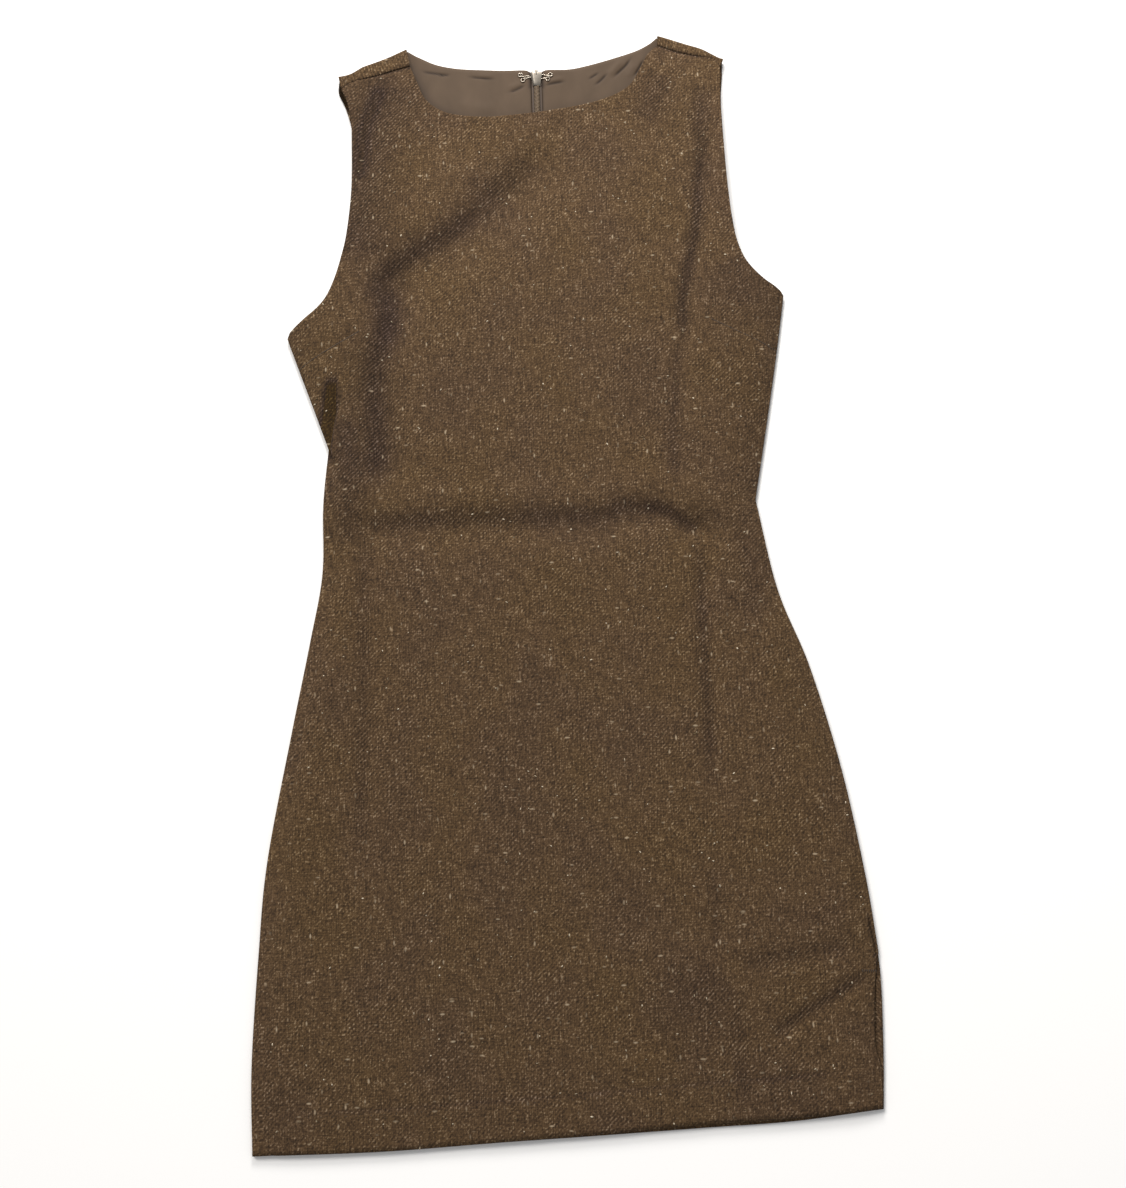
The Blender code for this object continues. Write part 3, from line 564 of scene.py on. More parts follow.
def stretched(tree, place, x_size, y_size, turn=0.0):
    """The place in the weave, turned, with its unit set to sizes in millimetres."""
    return add_node(tree, "ShaderNodeMapping", {
        "Vector": place, "Rotation": (0, 0, math.radians(-turn)),
        "Scale": (x_size * MM, y_size * MM, 1)}, vector_type="TEXTURE").outputs[0]


def ribs(tree, place, distortion, **sockets):
    """Even waves, one for each unit of the place's x."""
    return add_node(tree, "ShaderNodeTexWave", {
        "Vector": place, "Scale": WAVE_PERIOD, "Distortion": distortion, **sockets}).outputs["Fac"]


def ranged(tree, value, low, high, to_low=0.0, to_high=1.0):
    """A value between low and high, brought to another range and kept in it."""
    return add_node(tree, "ShaderNodeMapRange", {
        "Value": value, "From Min": low, "From Max": high, "To Min": to_low,
        "To Max": to_high}).outputs[0]


def scaled(tree, value, factor, plus=0.0, clamp=False):
    """The value times a factor, plus something more, and kept from 0 to 1 if it is clamped."""
    return add_node(tree, "ShaderNodeMath", {0: value, 1: factor, 2: plus},
                    operation="MULTIPLY_ADD", use_clamp=clamp).outputs[0]


def summed(tree, start, *terms):
    """start plus each output's difference from a half, times its share."""
    total = scaled(tree, start, 1.0, -0.5 * sum(share for _, share in terms))
    for output, share in terms:
        total = scaled(tree, output, share, total)
    return total


twill, tree, shader = new_finish("heathered wool-blend twill", 0.95, Sheen_Weight=0.05,
                                 Sheen_Roughness=0.6, Sheen_Tint=dye("B89B78"),
                                 Specular_IOR_Level=0.2)
weave = woven_place(tree)
sway = add_node(tree, "ShaderNodeTexNoise", {"Vector": weave, "Scale": 60.0}).outputs["Color"]
cloth_place = add_node(tree, "ShaderNodeVectorMath", {
    0: sway, 1: (YARN_SWAY * MM, YARN_SWAY * MM, 0), 2: weave}, operation="MULTIPLY_ADD").outputs[0]
warp, weft, floats, hairs, heather, patches = (
    clouds(tree, stretched(tree, cloth_place, *place), Detail=detail, Roughness=roughness)
    for *place, detail, roughness in YARNS.values())
wales = ribs(tree, stretched(tree, cloth_place, WALE_SPACING, WALE_SPACING, WALE_TURN), 0.5,
             **{"Detail": 1.0, "Detail Scale": 1.5})
pressed_area = clouds(tree, stretched(tree, cloth_place, 45, 60), Detail=1.0, Distortion=0.6)
wale_share = ranged(tree, pressed_area, 0.40, 0.62, 0.03, 0.12)
light_and_shade_paint = light_and_shade_paint_at(tree)
in_fold = ranged(tree, light_and_shade_paint, 1.4, 1.9)
wale_pressed = scaled(tree, in_fold, -0.2, scaled(tree, light_and_shade_paint, 0.12, wale_share), clamp=True)
wale_tone = scaled(tree, scaled(tree, wales, 1.0, -0.56), wale_pressed, 0.5)
shade = summed(tree, wale_tone, (warp, 0.48), (weft, 0.34), (floats, 0.44), (hairs, 0.80),
               (heather, 0.22))
ramp = add_node(tree, "ShaderNodeValToRGB", {"Fac": shade})
stops = ramp.color_ramp.elements
stops.new(0.5)
stops.new(0.7)
for stop, (place, colour) in zip(stops, SHELL_SHADES):
    stop.position, stop.color = place, dye(colour)

# Painted light and shade: the cloth is tinted gold where it lies towards the light (painted
# light), and mauve in its creases, darker still in the fold and the seams (painted shade). The
# random gold and mauve patches are the cloth's own tone.
gold_patch = ranged(tree, patches, 0.42, 0.65, 0.0, 0.20)
gold = scaled(tree, scaled(tree, light_and_shade_paint, -0.55, clamp=True), 1.0, gold_patch, clamp=True)
golden = mix(tree, gold, ramp.outputs["Color"], "FFFBAE", "MULTIPLY")
mauve_patch = ranged(tree, patches, 0.48, 0.34, 0.0, 0.16)
mauve = scaled(tree, light_and_shade_paint, 0.60, mauve_patch, clamp=True)
crease_shade_and_patch = mix(tree, mauve, golden, "A29FBC", "MULTIPLY")
fold_shade_tint = mix(tree, 1.0, golden, "B4AC84", "MULTIPLY")
cloth_colour = mix(tree, ranged(tree, light_and_shade_paint, 2.0, 3.0), mix(tree, in_fold, crease_shade_and_patch, fold_shade_tint), "6A5C50",
                   "MULTIPLY")
for x_size, y_size, rare, seed in NEPS:
    cells = add_node(tree, "ShaderNodeTexVoronoi", {
        "Vector": stretched(tree, cloth_place, x_size, y_size), "Scale": 1.0, "W": seed},
        voronoi_dimensions="4D").outputs
    chosen = add_node(tree, "ShaderNodeSeparateColor", {0: cells["Color"]}).outputs[0]
    fleck = scaled(tree, ranged(tree, chosen, rare, 1.0),
                   ranged(tree, cells["Distance"], 0.16, 0.34, 0.72, 0.0))
    cloth_colour = mix(tree, fleck, cloth_colour, "B4A288")
relief = summed(tree, wale_tone, (wales, 0.3), (hairs, 0.8), (floats, 0.6))
give_look(tree, shader, cloth_colour, relief, 0.35, 0.4)


def parted(line, row):
    """The line in two parts, up to the fold's columns in that row and on from them. Points
    within half a millimetre of them are left out."""
    return (np.vstack([line[line[:, 0] < row[-1, 0] - 0.5], row[-1:]]),
            np.vstack([row[:1], line[line[:, 0] > row[0, 0] + 0.5]]))


def front_points(xy):
    """x, y, z, place in the weave and painted shade and light of a grid on the front."""
    z, dark = front_height(xy[..., 0], xy[..., 1])
    return np.dstack([xy, z, xy, dark])


v = ticks(*ROWS)
seam_right, seam_left = (spline(line) + SEAM_GAP / 2 * to_right(spline(line))
                         for line in (SEAM_RIGHT, SEAM_LEFT))
neck, hem = spline(NECK_FRONT), spline(HEM_FRONT)
neck[0], neck[-1] = seam_right[-1], seam_left[0]
armhole_right, armhole_left = spline(ARMHOLE_RIGHT), spline(ARMHOLE_LEFT)
armhole_right[-1], armhole_left[-1] = seam_right[0], seam_left[-1]
right = along(v, (RIB_SHARE, spline(SIDE_RIGHT)), (PIT_SHARE, spline(UNDERARM_RIGHT)),
              (1, armhole_right))
above_slit = [SLIT_TOP] + [p for p in SIDE_LEFT if p[1] > SLIT_TOP[1]]
left = along(v, (SLIT_SHARE, spline(SLIT_EDGE + [SLIT_TOP])), (WAIST_SHARE, spline(above_slit)),
             (PIT_SHARE, spline(UNDERARM_LEFT)), (1, armhole_left))

guide = along(v, *zip((RIB_SHARE, PIT_SHARE, 1), (spline(line) for line in GUIDE)))
outward = -to_right(guide)[:, None]
level = guide[:, 1:]
closed = (ease((level - CLOSING[0]) / (CLOSING[1] - CLOSING[0]))
          * ease((OPENING[1] - level) / (OPENING[1] - OPENING[0])))
folded_out, rise = np.array(FOLD_PROFILE).T
flat_out = np.linspace(-FOLD_HALF, FOLD_HALF, len(rise))
fold_xy = guide[:, None] + outward * ((1 - closed) * flat_out + closed * folded_out)[..., None]
hem_flap, hem_main = parted(hem, fold_xy[0])
seam_flap, seam_main = parted(seam_right, fold_xy[-1])

u_flap = np.linspace(0, 1, FLAP_COLUMNS + 1)
flap_xy = coons(at(hem_flap, u_flap), at(seam_flap, u_flap), right, fold_xy[:, -1], u_flap, v)
lengths = [run_to(line)[-1] for line in (seam_main, neck, seam_left)]
right_end = lengths[0] / sum(lengths) + CORNER_SHARE
left_end = 1 - lengths[2] / sum(lengths) - CORNER_SHARE
u_main = ticks((right_end, SEAM_COLUMNS), (left_end, MAIN_COLUMNS - 2 * SEAM_COLUMNS),
               (1 - EDGE_SHARE, SEAM_COLUMNS - 2), (1, EDGE_COLUMNS))
main_xy = coons(at(hem_main, u_main),
                along(u_main, (right_end, seam_main), (left_end, neck), (1, seam_left)),
                fold_xy[:, 0], left, u_main, v)

flap, main = front_points(flap_xy), front_points(main_xy)
off_main, off_flap = (np.linalg.norm(xy - guide[:, None], axis=2) for xy in (main_xy, flap_xy))
low = np.clip(1 - (main[..., 2] - SIDE_Z) / RISE_LIMIT, 0, 1)
main[..., 2] += FOLD_RISE * closed * low * bell(off_main / RISE_WIDTH)
sunk = closed * bell(off_flap / DROP_WIDTH)
flap[..., 2] = SIDE_Z + (flap[..., 2] - SIDE_Z) * (1 - FLAP_DROP * sunk)
# Painted shade on the underarm beside the fold
in_shade = np.where(level > OPENING[0], ease((OPENING[1] - level) / SHADE_END), closed)
flap[..., 5] = np.maximum(flap[..., 5], FOLD_SHADE * in_shade
                          * (1 - ease((off_flap - SHADE_WIDTH) / SHADE_EDGE)))

folded = front_points(fold_xy)
standing = flap[:, -1:, 2] + rise * (main[:, :1, 2] - flap[:, -1:, 2])
folded[..., 2] = (1 - closed) * folded[..., 2] + closed * standing
run = run_to(folded[..., :3].swapaxes(0, 1)).T[..., None]
under = ease((np.arange(len(rise)) - 5) / (len(rise) - 6))[:, None]
folded[..., 3:5] = (1 - under) * (main_xy[:, :1] + outward * run) + under * flap_xy[:, -1:]
# The fold's tucked columns carry painted shade where it is closed.
folded[..., 5] = np.where(closed > 0, closed * (rise < 0.9), folded[..., 5])
front_grid = np.concatenate([flap[:, :-1], folded[:, ::-1][:, :-1], main], axis=1)
front = add_cloth("front_shell", [front_grid], SHELL_WALL, twill)
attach(front, "garment")
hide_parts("front")


# ---- Backs ----
# Two panels of the same twill, joined by the zip and the seam below it. Each turns over its
# shoulder to the seam in front. The dress lies on them, so they are flat against the table.

BACK_Z = SHELL_WALL / 2 + 0.02
HEM_BACK = [
    (-230.9, -446.5), (-141, -446.5), (-60, -443.6), (20, -441), (95, -438.3), (160, -436), (225.6, -429.8)]
CENTRE_BACK_HEM = (-2.6, -441.8)
CENTRE_BACK_NECK = (0, 417.8)
TURN_RIGHT = [
    (-167.2, 418.4), (-162, 419.2), (-157, 420.6), (-152, 423.4), (-146.5, 427), (-138, 430), (-125, 435),
    (-109.2, 442)]
TURN_LEFT = [
    (104, 447.6), (115.4, 443.8), (128, 439), (139.6, 434.8), (146.2, 431), (152.4, 427), (156, 425),
    (158.8, 424.2)]
NECK_BACK_RIGHT = [
    (0, 417.8), (-4.2, 417.9), (-8.6, 420.4), (-22, 421.2), (-41, 422.4), (-66, 424.6), (-84, 428.8),
    (-98, 435.6), (-109.2, 442)]
NECK_BACK_LEFT = [
    (0, 417.8), (4.2, 417.9), (8.6, 420.2), (28, 420.8), (46, 424.4), (66, 430), (85, 436.2), (96, 441.6),
    (104, 447.6)]
TIP_RIGHT_BACK = [(-156.8, 374), (-161.2, 390), (-165.2, 399.5), (-167.4, 406)]
TIP_LEFT_BACK = [(154.4, 372), (155.4, 394), (157.2, 409)]

# The pull tab lies under the neck, and the cloth rises over it.
TAB_LIFT = 1.3
TAB_LIFT_CORE = 5.0
TAB_LIFT_WIDTH = 34.0
TAB_LIFT_FROM = 338.0
TAB_LIFT_FULL = 392.0
# At the neck points the back stands up to the fold of the shoulder.
POINT_LIFT = 1.9
POINT_LIFT_WIDTH = 10.0

# Creases in the backs stand up from the table, and fade out towards the side seams and the
# centre. Columns as for the front.
SIDE_FADE, CENTRE_FLAT, CENTRE_FADE = 20, 6, 24
BACK_WAIST = [(-170, 20), (-90, 14), (0, 22), (80, 16), (150, 24)]
BACK_FOLD_RIGHT = [(-128, 330), (-132, 160), (-138, -60), (-140, -240)]
BACK_FOLD_LEFT = [(118, 300), (112, 150), (110, -90), (114, -260)]
BACK_CREASES = [
    ("waist", -1.3, 10, 16, BACK_WAIST),
    ("right fold", -1.0, 8, 8, BACK_FOLD_RIGHT),
    ("left fold", -1.1, 8, 8, BACK_FOLD_LEFT),
    ("right blade", -0.7, 14, 10, [(-40, 300), (-90, 250), (-126, 190)]),
    ("left seat", -0.6, 12, 12, [(40, -120), (90, -150), (150, -150)]),
]
# Painted shade along the back's creases, and deep painted shade in the opening of the right armhole
BACK_SHADE_PAINT = [
    (0.6, 11, BACK_WAIST),
    (0.5, 8, BACK_FOLD_RIGHT),
    (0.5, 8, BACK_FOLD_LEFT),
    (2.8, 7, [(-174, 424), (-168, 408), (-164, 396), (-161, 386)]),
]
BACK_DARTS = [((-86, 96), (-88, -78)), ((84, 98), (86, -76))]
BACK_DART_RISE, BACK_DART_WIDTH = 0.5, 3
BACK_ROWS = ((SLIT_SHARE, 24), (WAIST_SHARE, 70), (RIB_SHARE, 14), (PIT_SHARE, 22), (0.985, 44), (1, 5))
NECK_END = 0.62
BACK_COLUMNS = ((0.02, 3), (0.06, 3), (NECK_END, 26), (0.955, 15), (1, 6))
TURN_STEPS = 14
STRIP_STEPS = 8
STRIP_DIP = 0.4
SEAM_ROLL = 0.5
SEAM_ROLL_WIDTH = 1.6
# Beside the slit the back's edge is turned in twice, so it stands up.
FACING_RISE = 1.2
FACING_WIDTH = 9.0
FACING_FADE = 14
# The strip over the shoulder shows its cloth turned by 45 degrees.
BIAS = 0.71


def centre_x(y):
    """Where the centre back runs."""
    return np.interp(y, *zip(CENTRE_BACK_HEM[::-1], CENTRE_BACK_NECK[::-1]))


def neck_lift(x, y):
    """How far the pull tab under the back, and the folds at the neck points, lift the cloth."""
    across = 1 - ease((np.abs(x) - TAB_LIFT_CORE) / (TAB_LIFT_WIDTH - TAB_LIFT_CORE))
    lift = TAB_LIFT * across * ease((y - TAB_LIFT_FROM) / (TAB_LIFT_FULL - TAB_LIFT_FROM))
    for px, py in (NECK_BACK_RIGHT[-1], NECK_BACK_LEFT[-1]):
        lift = lift + POINT_LIFT * bell(np.hypot(x - px, y - py) / POINT_LIFT_WIDTH)
    return lift


def back_height(x, y):
    """Middle of the back's wall over the table, and its painted shade."""
    centre = np.abs(x - centre_x(y))
    rise = (-creased(x, y, BACK_CREASES) * ease(gap(x, y, *side_seams()) / SIDE_FADE)
            * ease((centre - CENTRE_FLAT) / CENTRE_FADE))
    for dart in BACK_DARTS:
        off, where = distance(x, y, np.array(dart, float))
        rise = rise + (BACK_DART_RISE * np.sin(np.pi * np.clip(where, 0, 1))
                       * bell(off / BACK_DART_WIDTH))
    rise = rise + SEAM_ROLL * bell(centre / SEAM_ROLL_WIDTH)
    facing = (1 - ease(gap(x, y, spline(SIDE_LEFT)) / FACING_WIDTH)) * ease(
        (SLIT_TOP[1] - y) / FACING_FADE)
    rise = rise + FACING_RISE * facing
    return BACK_Z + neck_lift(x, y) + rise, painted_light_and_shade(x, y, BACK_SHADE_PAINT)


for side, name, seam, turn, edge, tip, armhole, back_hem, stretches in (
        (-1, "right", spline(SEAM_RIGHT)[::-1], spline(TURN_RIGHT)[::-1], NECK_BACK_RIGHT,
         TIP_RIGHT_BACK, spline(ARMHOLE_RIGHT), spline(HEM_BACK)[::-1],
         [(RIB_SHARE, spline(SIDE_RIGHT)), (PIT_SHARE, spline(UNDERARM_RIGHT))]),
        (1, "left", spline(SEAM_LEFT), spline(TURN_LEFT), NECK_BACK_LEFT,
         TIP_LEFT_BACK, spline(ARMHOLE_LEFT), spline(HEM_BACK),
         [(WAIST_SHARE, spline(SIDE_LEFT)), (PIT_SHARE, spline(UNDERARM_LEFT))])):
    half_gap = np.array([side * SEAM_GAP / 2, 0])
    centre_line = np.array([CENTRE_BACK_HEM, CENTRE_BACK_NECK], float) + half_gap
    back_hem = np.vstack([centre_line[:1],
                          back_hem[side * (back_hem[:, 0] - centre_line[0, 0]) > 4]])

    u, v_back = ticks(*BACK_COLUMNS), ticks(*BACK_ROWS)
    s = (u[u >= NECK_END - 1e-9] - NECK_END) / (1 - NECK_END)
    fold, meet = at(turn, s), at(seam, s)
    inward = (meet - fold) / np.linalg.norm(meet - fold, axis=1)[:, None]
    meet = meet - inward * SEAM_GAP / 2
    deep = seam_depth(meet[:, 0])
    seam_z = front_height(meet[:, 0], meet[:, 1])[0] + SEAM_DIP * deep
    low_z = BACK_Z + neck_lift(fold[:, 0], fold[:, 1])
    radius = (seam_z - low_z) / 2
    start = fold + inward * radius[:, None]
    edge = spline(edge[:-1] + [start[0]])
    run = run_to(edge)[:, None]
    edge = edge + half_gap * (1 - run / run[-1])
    armhole = np.vstack([armhole[armhole[:, 1] < tip[0][1] - 8], spline(tip + [start[-1]])])
    top = np.vstack([at(edge, u[u < NECK_END - 1e-9] / NECK_END), start])
    xy = coons(at(back_hem, u), top, at(centre_line, v_back),
               along(v_back, *stretches, (1, armhole)), u, v_back)
    z, dark = back_height(xy[..., 0], xy[..., 1])
    z[-1, -len(s):] = low_z
    flat_back = np.dstack([xy, z, -xy[..., 0], xy[..., 1], dark])

    # The fold at the shoulder, then the strip on top of it down to the seam, with painted shade in the seam
    turned, shade = [], []
    for angle in np.linspace(-math.pi / 2, math.pi / 2, TURN_STEPS + 1):
        turned_xy = start - inward * (radius * math.cos(angle))[:, None]
        turned.append(np.column_stack([turned_xy, low_z + radius * (1 + math.sin(angle))]))
        shade.append(np.zeros(len(s)))
    top_xy = turned[-1][:, :2]
    reach = np.linalg.norm(meet - top_xy, axis=1)
    for t in np.linspace(0, 1, STRIP_STEPS)[1:]:
        sewn = deep * bell(reach * (1 - t))
        turned.append(np.column_stack([top_xy * (1 - t) + meet * t,
                                       seam_z - (STRIP_DIP + SEAM_DIP) * sewn]))
        shade.append(SEAM_SHADE * sewn)
    unrolled = start - inward * run_to(np.array(turned))[..., None]
    strip = np.dstack([np.array(turned), BIAS * (unrolled[..., 1] - unrolled[..., 0]),
                       BIAS * unrolled.sum(axis=-1), np.array(shade)])
    piece = add_cloth(f"back_{name}_shell", [flat_back, strip], SHELL_WALL, twill)
    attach(piece, "garment")
    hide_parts(f"back_{name}")


# ---- Lining ----
# Smooth taupe polyester at the back of the neck, bagged out at the edge and held down beside
# the zip. It drags in small lines at the edge, and is pleated towards the left shoulder.

LINING_WALL = 0.7
LINING_Z = 2.25
LINING_START = 4.4
LINING_OUTER = 117.0
LINING_UNDER = 17.0
LINING_EDGE = 1.0
CORNER_DROP, CORNER_RUN = 7, 3
LINING_COLUMNS = 90
LINING_ROWS = 50
# Shade on it, each with its width: under the front's edge, and more so towards the right
# shoulder, beside the slider, all along the zip, and in the troughs of its folds
EDGE_SHADE, EDGE_SHADE_WIDTH = 0.15, 6
SHOULDER_SHADE, SHOULDER_FROM = 0.3, 40
SLIDER_SHADE, SLIDER_SHADE_WIDTH, SLIDER_FROM = 0.95, 2.2, 400
ZIP_SHADE, ZIP_SHADE_WIDTH = 0.7, 1.1
TROUGH_SHADE = 0.9
# It is held down beside the zip and at the neck seam: how deep, and how far that reaches.
ZIP_HOLD, ZIP_HOLD_WIDTH = 0.28, 0.9
NECK_HOLD, NECK_HOLD_SHARE = 0.35, 0.02
# Drag lines and pleats: height (a trough is negative), half width, and the route as x, y
LINING_FOLDS = [
    (-0.35, 1.0, [(-98, 422.4), (-86, 420), (-74, 418.2)]),
    (-0.4, 0.9, [(-83, 417.6), (-73, 418.6)]),
    (-0.45, 0.9, [(-58, 416), (-48, 414.6), (-42, 413.6), (-35, 413.2)]),
    (0.3, 2.2, [(-50, 417), (-34, 416)]),
    (-0.5, 1.0, [(-24, 400), (-18, 401.6), (-9, 406)]),
    (0.35, 2.4, [(-24, 404), (-12, 408)]),
    (-0.45, 1.1, [(7, 404.4), (12, 406.4), (24, 408.6)]),
    (0.35, 2.4, [(9, 408), (24, 412)]),
    (-0.4, 0.9, [(44, 410.2), (53, 416)]),
    (-0.5, 1.0, [(49, 404.6), (54, 408.4), (60, 415)]),
    (-0.7, 1.1, [(65, 411), (70, 416), (76, 422), (81, 429)]),
    (0.5, 2.6, [(60, 412), (74, 428)]),
    (-0.6, 1.2, [(82, 411), (86, 417), (92, 428)]),
    (0.4, 3.0, [(76, 410), (84, 424)]),
    (0.4, 6.0, [(-70, 395), (-50, 386), (-30, 388)]),
]
# Taupe polyester lining, plain weave of fine filament: a soft satin sheen, hardly any grain.
lining_cloth, tree, shader = new_finish("taupe polyester lining", 0.7, Specular_IOR_Level=0.2)
weave = woven_place(tree)
tone = summed(tree, 0.5, *((ribs(tree, stretched(tree, weave, 0.6, 0.6, turn), 0.3), 0.2)
                           for turn in (0, 90)),
              (clouds(tree, stretched(tree, weave, 16, 30), Detail=3.0), 0.8))
# The lining's shade under the front's edge, beside the slider and the zip and in its folds is painted into
# its colour.
lining_tone = mix(tree, light_and_shade_paint_at(tree), mix(tree, tone, "443628", "5B4A3A"), "6E6056", "MULTIPLY")
give_look(tree, shader, lining_tone, tone, 0.15, 0.1)


def lining_height(x, y):
    """Middle of the lining's wall over the table, and how much it is shaded in its folds."""
    z = LINING_Z + neck_lift(x, y)
    dark = np.zeros(np.shape(x))
    for height, half_width, route in LINING_FOLDS:
        hump = beside(x, y, half_width, half_width, route, least=0.15, soft=0.3)
        z = z + height * hump
        if height < 0:
            dark = np.maximum(dark, TROUGH_SHADE * hump)
    shade = ((EDGE_SHADE + SHOULDER_SHADE * ease(-x / SHOULDER_FROM - 1))
             * bell(gap(x, y, spline(NECK_FRONT)) / EDGE_SHADE_WIDTH))
    beside_zip = np.abs(x) - LINING_START
    by_slider = (SLIDER_SHADE * bell(beside_zip / SLIDER_SHADE_WIDTH)
                 * ease((y - SLIDER_FROM) / 4))
    by_zip = ZIP_SHADE * bell(beside_zip / ZIP_SHADE_WIDTH)
    return z, np.maximum.reduce([dark, shade, by_slider, by_zip])


front_edge = spline(NECK_FRONT)
for side, name, edge in ((-1, "right", spline(NECK_BACK_RIGHT)), (1, "left", spline(NECK_BACK_LEFT))):
    x = side * np.concatenate([np.linspace(LINING_START, LINING_START + 3, 4)[:-1],
                               np.linspace(LINING_START + 3, LINING_OUTER, LINING_COLUMNS)])
    high = np.interp(x, *edge[np.argsort(edge[:, 0])].T) - LINING_EDGE
    high = high - CORNER_DROP * ease((np.abs(x) - abs(edge[-1, 0]) + 0.5) / CORNER_RUN)
    low = np.interp(x, *front_edge.T) - LINING_UNDER
    t = np.concatenate([np.linspace(0, 0.96, LINING_ROWS), [0.973, 0.986, 1]])[:, None]
    xy = np.dstack([np.broadcast_to(x, (len(t), len(x))), low * (1 - t) + high * t])
    z, dark = lining_height(xy[..., 0], xy[..., 1])
    z = (z - ZIP_HOLD * bell((np.abs(xy[..., 0]) - LINING_START) / ZIP_HOLD_WIDTH)
         - NECK_HOLD * bell((1 - t) / NECK_HOLD_SHARE))
    grid = np.dstack([xy, z, xy, dark])
    piece = add_cloth(f"lining_{name}_cloth", [grid], LINING_WALL, lining_cloth)
    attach(piece, "garment")
    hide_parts(f"lining_{name}")


# ---- Slubs ----
# Cream knots spun into the yarn, which stand up a little from the twill. Each lies along a warp
# or a weft yarn. They are most of what is light in the cloth.

SLUBS_PER_SQUARE_METRE = 1900.0
# The smallest and the largest: half their width, length and height
SLUB_LOW = (0.30, 0.42, 0.16)
SLUB_HIGH = (0.58, 1.15, 0.34)
SLUB_STAND = 0.08
SLUB_SKEW = 0.25

# Undyed wool caught in the yarn: matt, cream to pale brown from one knot to the next.
slub_wool, tree, shader = new_finish("undyed slub wool", 0.9, Specular_IOR_Level=0.2)
place = object_place(tree)
tint = ranged(tree, clouds(tree, place, 260.0, Detail=1.0), 0.44, 0.66)
give_look(tree, shader, mix(tree, tint, "675840", "D2C4AC"), clouds(tree, place, 4000.0), 0.3, 0.2)


def new_maker(title, **sizes):
    """A Geometry Nodes tree whose inputs are its base, its named sizes and its finish."""
    tree = bpy.data.node_groups.new(title, "GeometryNodeTree")
    tree.interface.new_socket("Made", in_out="OUTPUT", socket_type="NodeSocketGeometry")
    for name, kind in {"Base": "Geometry", **sizes, "Finish": "Material"}.items():
        tree.interface.new_socket(name.replace("_", " "), in_out="INPUT",
                                  socket_type="NodeSocket" + kind)
    return tree, add_node(tree, "NodeGroupInput").outputs


def copied(tree, sizes, points, instance, **sockets):
    """Ends the tree: copies at the points become real and smooth, and take the finish."""
    made = add_node(tree, "GeometryNodeInstanceOnPoints", {
        "Points": points, "Instance": instance, **sockets})
    real = add_node(tree, "GeometryNodeRealizeInstances", {0: made.outputs[0]})
    smooth = add_node(tree, "GeometryNodeSetShadeSmooth", {0: real.outputs[0]})
    named = add_node(tree, "GeometryNodeSetMaterial", {
        0: smooth.outputs[0], "Material": sizes["Finish"]})
    add_node(tree, "NodeGroupOutput", {"Made": named.outputs[0]})


def knot(tree):
    """A ball of radius 1, for its copies to be scaled."""
    return add_node(tree, "GeometryNodeMeshIcoSphere", {"Radius": 1.0, "Subdivisions": 2}).outputs[0]


def turned_by(tree, rotation, angle):
    """The rotation turned further by an angle about its own Z."""
    spin = add_node(tree, "ShaderNodeCombineXYZ", {"Z": angle})
    return add_node(tree, "FunctionNodeRotateRotation", {0: rotation, 1: spin.outputs[0]},
                    rotation_space="LOCAL").outputs[0]


def made_by(tree, name, points, edges=None, faces=(), **sizes):
    """A piece that the tree makes from base points in millimetres, with their edges or faces.
    The points make one line unless edges or faces are given."""
    if edges is None:
        edges = [] if len(faces) else [(k, k + 1) for k in range(len(points) - 1)]
    base_mesh = bpy.data.meshes.new(name + " base")
    base_mesh.from_pydata([Vector(p) * MM for p in points], edges, faces)
    base = add_object(name + " base", base_mesh)
    maker = base.modifiers.new("maker", "NODES")
    maker.node_group = tree
    for socket in tree.interface.items_tree:
        if socket.in_out == "INPUT" and socket.name.replace(" ", "_") in sizes:
            maker[socket.identifier] = sizes[socket.name.replace(" ", "_")]
    graph = bpy.context.evaluated_depsgraph_get()
    mesh = bpy.data.meshes.new_from_object(base.evaluated_get(graph))
    bpy.data.objects.remove(base)
    piece = add_object(name, mesh)
    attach(piece, "garment")
    return piece


slub_maker, sizes = new_maker("slubs over a cloth", Per_square_metre="Float", Smallest="Vector",
                              Largest="Vector", Seed="Int")
spread = add_node(slub_maker, "GeometryNodeDistributePointsOnFaces", {
    "Mesh": sizes["Base"], "Density": sizes["Per square metre"], "Seed": sizes["Seed"]}).outputs
size = add_node(slub_maker, "FunctionNodeRandomValue", {
    0: sizes["Smallest"], 1: sizes["Largest"], "Seed": sizes["Seed"]}, data_type="FLOAT_VECTOR")
quarter = add_node(slub_maker, "FunctionNodeRandomValue", {4: 0, 5: 2, "Seed": 5},
                   data_type="INT")
skew = add_node(slub_maker, "FunctionNodeRandomValue", {2: -SLUB_SKEW, 3: SLUB_SKEW, "Seed": 9})
turn = scaled(slub_maker, quarter.outputs[2], math.pi / 2, skew.outputs[1])
copied(slub_maker, sizes, spread["Points"], knot(slub_maker), Scale=size.outputs[0],
       Rotation=turned_by(slub_maker, spread["Rotation"], turn))

# None of them lie where the fold hides its own cloth.
columns = front_grid.shape[1]
top_side = front_grid[..., :3] + np.array([0, 0, SHELL_WALL / 2 + SLUB_STAND])
faces = [(k, k + 1, k + columns + 1, k + columns)
         for start in range(0, (len(front_grid) - 1) * columns, columns)
         for k in range(start, start + columns - 1)
         if not FLAP_COLUMNS <= k - start < FLAP_COLUMNS + 6]
slubs = made_by(slub_maker, "front_slubs", top_side.reshape(-1, 3), faces=faces,
                Per_square_metre=SLUBS_PER_SQUARE_METRE, Smallest=Vector(SLUB_LOW) * MM,
                Largest=Vector(SLUB_HIGH) * MM, Seed=4, Finish=slub_wool)


# ---- Stitches ----
# Thread in the dress's own dark brown: a bar tack over the top of the slit, the pricks of the
# blind hem, the darts' seams, and the loops that sew down the hook and the eye.

